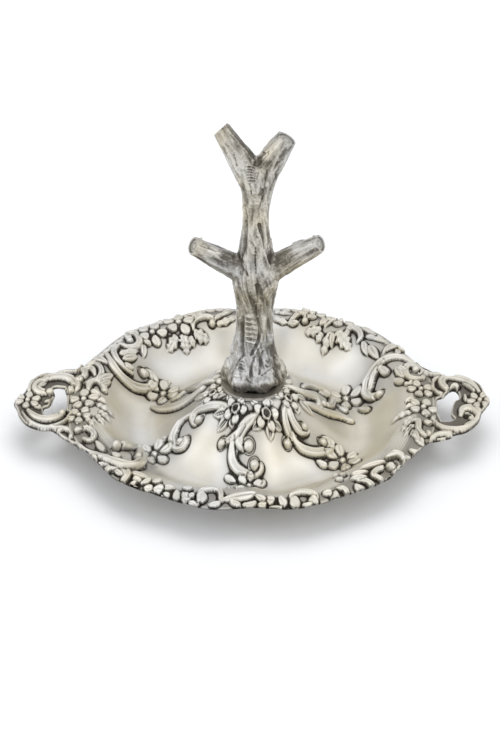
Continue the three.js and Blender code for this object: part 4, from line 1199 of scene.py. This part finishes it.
def makeTree():
    solid = roughTree()
    bm = bmesh.new()
    bm.from_mesh(solid)
    bm.normal_update()
    layer = bm.verts.layers.float.new("oxideAndShade")
    axes = [branchAxis(name) for name in tree["branches"]]
    relief, dark, stipple = strokeRelief(readPlaces(bm.verts))
    moves = []
    for vert, cut, shade, rough in zip(bm.verts, relief.tolist(), dark.tolist(), stipple.tolist()):
        bark = barkStreaks(vert.co, axes)
        grain = noise.noise(vert.co * 2.6)
        lift = tree["barkDepth"] * (bark - 0.6) + tree["grainDepth"] * grain + tree["strokeDepth"] * cut
        if rough > 0:
            pits = noise.noise(vert.co * 3.4)
            lift += tree["pitDepth"] * rough * pits
            shade += tree["pitShade"] * rough * max(0, -pits)
        moves.append(vert.normal * lift)
        # oxide of the bark, with the painted shade and highlights that shade carries
        oxideAndShade = (tree["oxideAndShade"] - tree["barkBright"] * bark - tree["grainBright"] * grain
                 + tree["strokeShade"] * shade)
        vert[layer] = min(tree["mostOxideAndShade"], max(0, oxideAndShade))
    for vert, move in zip(bm.verts, moves):
        vert.co += move
    for name in tree["branches"]:
        sawEnd(bm, name)
    bmesh.ops.recalc_face_normals(bm, faces=bm.faces)
    bmesh.ops.triangulate(bm, faces=[face for face in bm.faces if len(face.verts) > 4])
    return addPiece("tree_trunk", bm)


def makeBranchEnd(name):
    tip, tipRadius, facing = sawnFace(name)
    bm = bmesh.new()
    radius = tipRadius - tree["ringWidth"] + disc["overlap"]
    spinProfile(bm, [(share * radius, z) for share, z in disc["profile"]])
    bmesh.ops.recalc_face_normals(bm, faces=bm.faces)
    bmesh.ops.transform(bm, matrix=facingMatrix(tip - facing * disc["depth"], facing), verts=bm.verts)
    piece = addPiece(name + "_disc", bm)
    out = [(vert.co * 1000 - tip).cross(facing).length / radius for vert in piece.data.vertices]
    layer = piece.data.attributes.new("oxideAndShade", "FLOAT", "POINT")
    layer.data.foreach_set("value", np.interp(out, *zip(*disc["oxideAndShade"])).astype(np.float32))
    return piece


treePiece = makeTree()
print("tree made")
branchEnds = {name: makeBranchEnd(name) for name in tree["branches"]}
print("branch ends made")


# Materials

silver = {"bright": (0.87, 0.86, 0.82), "dark": (0.062, 0.054, 0.046), "roughness": 0.37,
          "darkRoughness": 0.55, "tint": (1.0, 0.955, 0.84), "tintShare": 0.9}
barkSilver = {"bright": (0.73, 0.73, 0.725), "dark": (0.09, 0.08, 0.066), "roughness": 0.29,
              "darkRoughness": 0.5, "tint": (0.92, 0.85, 0.68), "tintShare": 0.9}
solderSilver = {"bright": (0.52, 0.5, 0.46), "dark": (0.2, 0.185, 0.165), "roughness": 0.42,
                "darkRoughness": 0.6, "tint": (1.0, 0.95, 0.88), "tintShare": 0.5,
                "evenOxide": 0.1}       # the frame's own part has no oxide of its own


def fillInputs(graph, node, inputs):
    # an input is given a value or another node's output
    for key, value in inputs.items():
        if isinstance(value, bpy.types.NodeSocket):
            graph.links.new(value, node.inputs[key])
        else:
            node.inputs[key].default_value = value


def addNode(graph, kind, inputs, **settings):
    node = graph.nodes.new("ShaderNode" + kind)
    for key, value in settings.items():
        setattr(node, key, value)
    fillInputs(graph, node, inputs)
    return node


def newMaterial(name):
    material = bpy.data.materials.new(name)
    material.use_nodes = True
    return material, material.node_tree, material.node_tree.nodes["Principled BSDF"]


def silverMaterial(name, finish):
    material, graph, shader = newMaterial(name)
    place = addNode(graph, "TexCoord", {}).outputs["Object"]
    cloud, fine, patches = (addNode(graph, "TexNoise", {"Scale": scale, "Detail": detail, "Vector": place})
                            for scale, detail in ((130, 5), (1500, 3), (62, 2)))
    # the attribute holds oxide together with painted shade, and on the tree painted highlights too
    oxideAndShade = finish.get("evenOxide") or addNode(graph, "Attribute", {}, attribute_name="oxideAndShade").outputs["Fac"]
    worn = addNode(graph, "Math", {0: cloud.outputs["Fac"], 1: 0.36, 2: -0.14}, operation="MULTIPLY_ADD")
    amount = addNode(graph, "Math", {0: worn.outputs[0], 1: oxideAndShade}, operation="ADD", use_clamp=True)
    colour = addNode(graph, "Mix", {0: amount.outputs[0], 6: (*finish["bright"], 1), 7: (*finish["dark"], 1)},
                     data_type="RGBA")
    share = addNode(graph, "MapRange", {"Value": patches.outputs["Fac"], "From Min": 0.38, "From Max": 0.62,
                                        "To Max": finish["tintShare"]})
    warm = addNode(graph, "Mix", {0: share.outputs["Result"], 6: colour.outputs[2], 7: (*finish["tint"], 1)},
                   data_type="RGBA", blend_type="MULTIPLY")
    rough = addNode(graph, "MapRange", {"Value": amount.outputs[0], "To Min": finish["roughness"],
                                        "To Max": finish["darkRoughness"]})
    bump = addNode(graph, "Bump", {"Strength": 0.12, "Distance": 0.00003, "Height": fine.outputs["Fac"]})
    fillInputs(graph, shader, {"Metallic": 1, "Base Color": warm.outputs[2],
                               "Roughness": rough.outputs["Result"], "Normal": bump.outputs["Normal"]})
    return material


traySilver = silverMaterial("tray silver", silver)
treeSilver = silverMaterial("bark silver", barkSilver)
solder = silverMaterial("solder", solderSilver)
for piece in (*trayPieces, handleLeft, handleRight, *branchEnds.values()):
    piece.data.materials.append(traySilver)
treePiece.data.materials.append(treeSilver)
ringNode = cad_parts["foot_solder_ring"]
ringNode.data.materials.clear()
ringNode.data.materials.append(solder)
print("materials made")


# Room: floor, sky, lamps and camera

def makeFloor():
    bm = bmesh.new()
    bmesh.ops.create_grid(bm, x_segments=1, y_segments=1, size=light["floorSize"])
    floor = addPiece("floor", bm)
    material, graph, shader = newMaterial("floor")
    fillInputs(graph, shader, {"Base Color": (*light["floorColour"], 1), "Roughness": 0.9})
    floor.data.materials.append(material)


def makeSky():
    world = bpy.data.worlds.new("sky")
    scene.world = world
    world.use_nodes = True
    graph = world.node_tree
    place = addNode(graph, "TexCoord", {}).outputs["Generated"]
    along = addNode(graph, "VectorMath", {0: place, 1: light["skyTilt"]}, operation="DOT_PRODUCT")
    ramp = addNode(graph, "ValToRGB", {0: along.outputs["Value"]})
    steps = ramp.color_ramp.elements
    while len(steps) < len(light["sky"]):
        steps.new(0.5)
    for step, (share, value) in zip(steps, light["sky"]):
        step.position = share
        step.color = (value, value, value * light["skyBlue"], 1)
    graph.links.new(ramp.outputs["Color"], graph.nodes["Background"].inputs["Color"])


def makeLamp(name):
    data = bpy.data.lights.new(name, "AREA")
    data.shape = "DISK"
    data.size = light[name + "Size"] / 1000
    data.energy = light[name + "Power"]
    lamp = bpy.data.objects.new(name, data)
    lamp.location = Vector(light[name + "Place"]) / 1000
    lamp.rotation_euler = (Vector((0, 0, 0.02)) - lamp.location).to_track_quat("-Z", "Y").to_euler()
    scene.collection.objects.link(lamp)


def makeCamera():
    elevation = math.radians(camera["elevation"])
    away = Vector((0, -math.cos(elevation), math.sin(elevation))) * camera["distance"]
    longSide = max(camera["imageSize"])
    data = bpy.data.cameras.new("camera")
    data.sensor_width = camera["sensorWidth"]
    data.lens = camera["sensorWidth"] * camera["focal"] / longSide
    data.shift_x = (camera["imageSize"][0] / 2 - camera["targetPixel"][0]) / longSide
    data.shift_y = (camera["targetPixel"][1] - camera["imageSize"][1] / 2) / longSide
    data.clip_start = 0.01
    eye = bpy.data.objects.new("camera", data)
    eye.location = (Vector(camera["target"]) + away) / 1000
    eye.rotation_euler = (-away).to_track_quat("-Z", "Y").to_euler()
    scene.collection.objects.link(eye)
    scene.camera = eye


makeFloor()
makeSky()
for name in ("key", "fill", "side"):
    makeLamp(name)
scene.objects["key"].visible_glossy = False
makeCamera()
print("room made")


# Handing over to the frame

for piece in (*trayPieces, handleLeft, handleRight):
    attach(piece, "root")
    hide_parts("tray")
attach(treePiece, "root")
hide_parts("tree_front_half", "tree_back_half")
for name, piece in branchEnds.items():
    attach(piece, "root")
    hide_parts(name + "_branch_end")
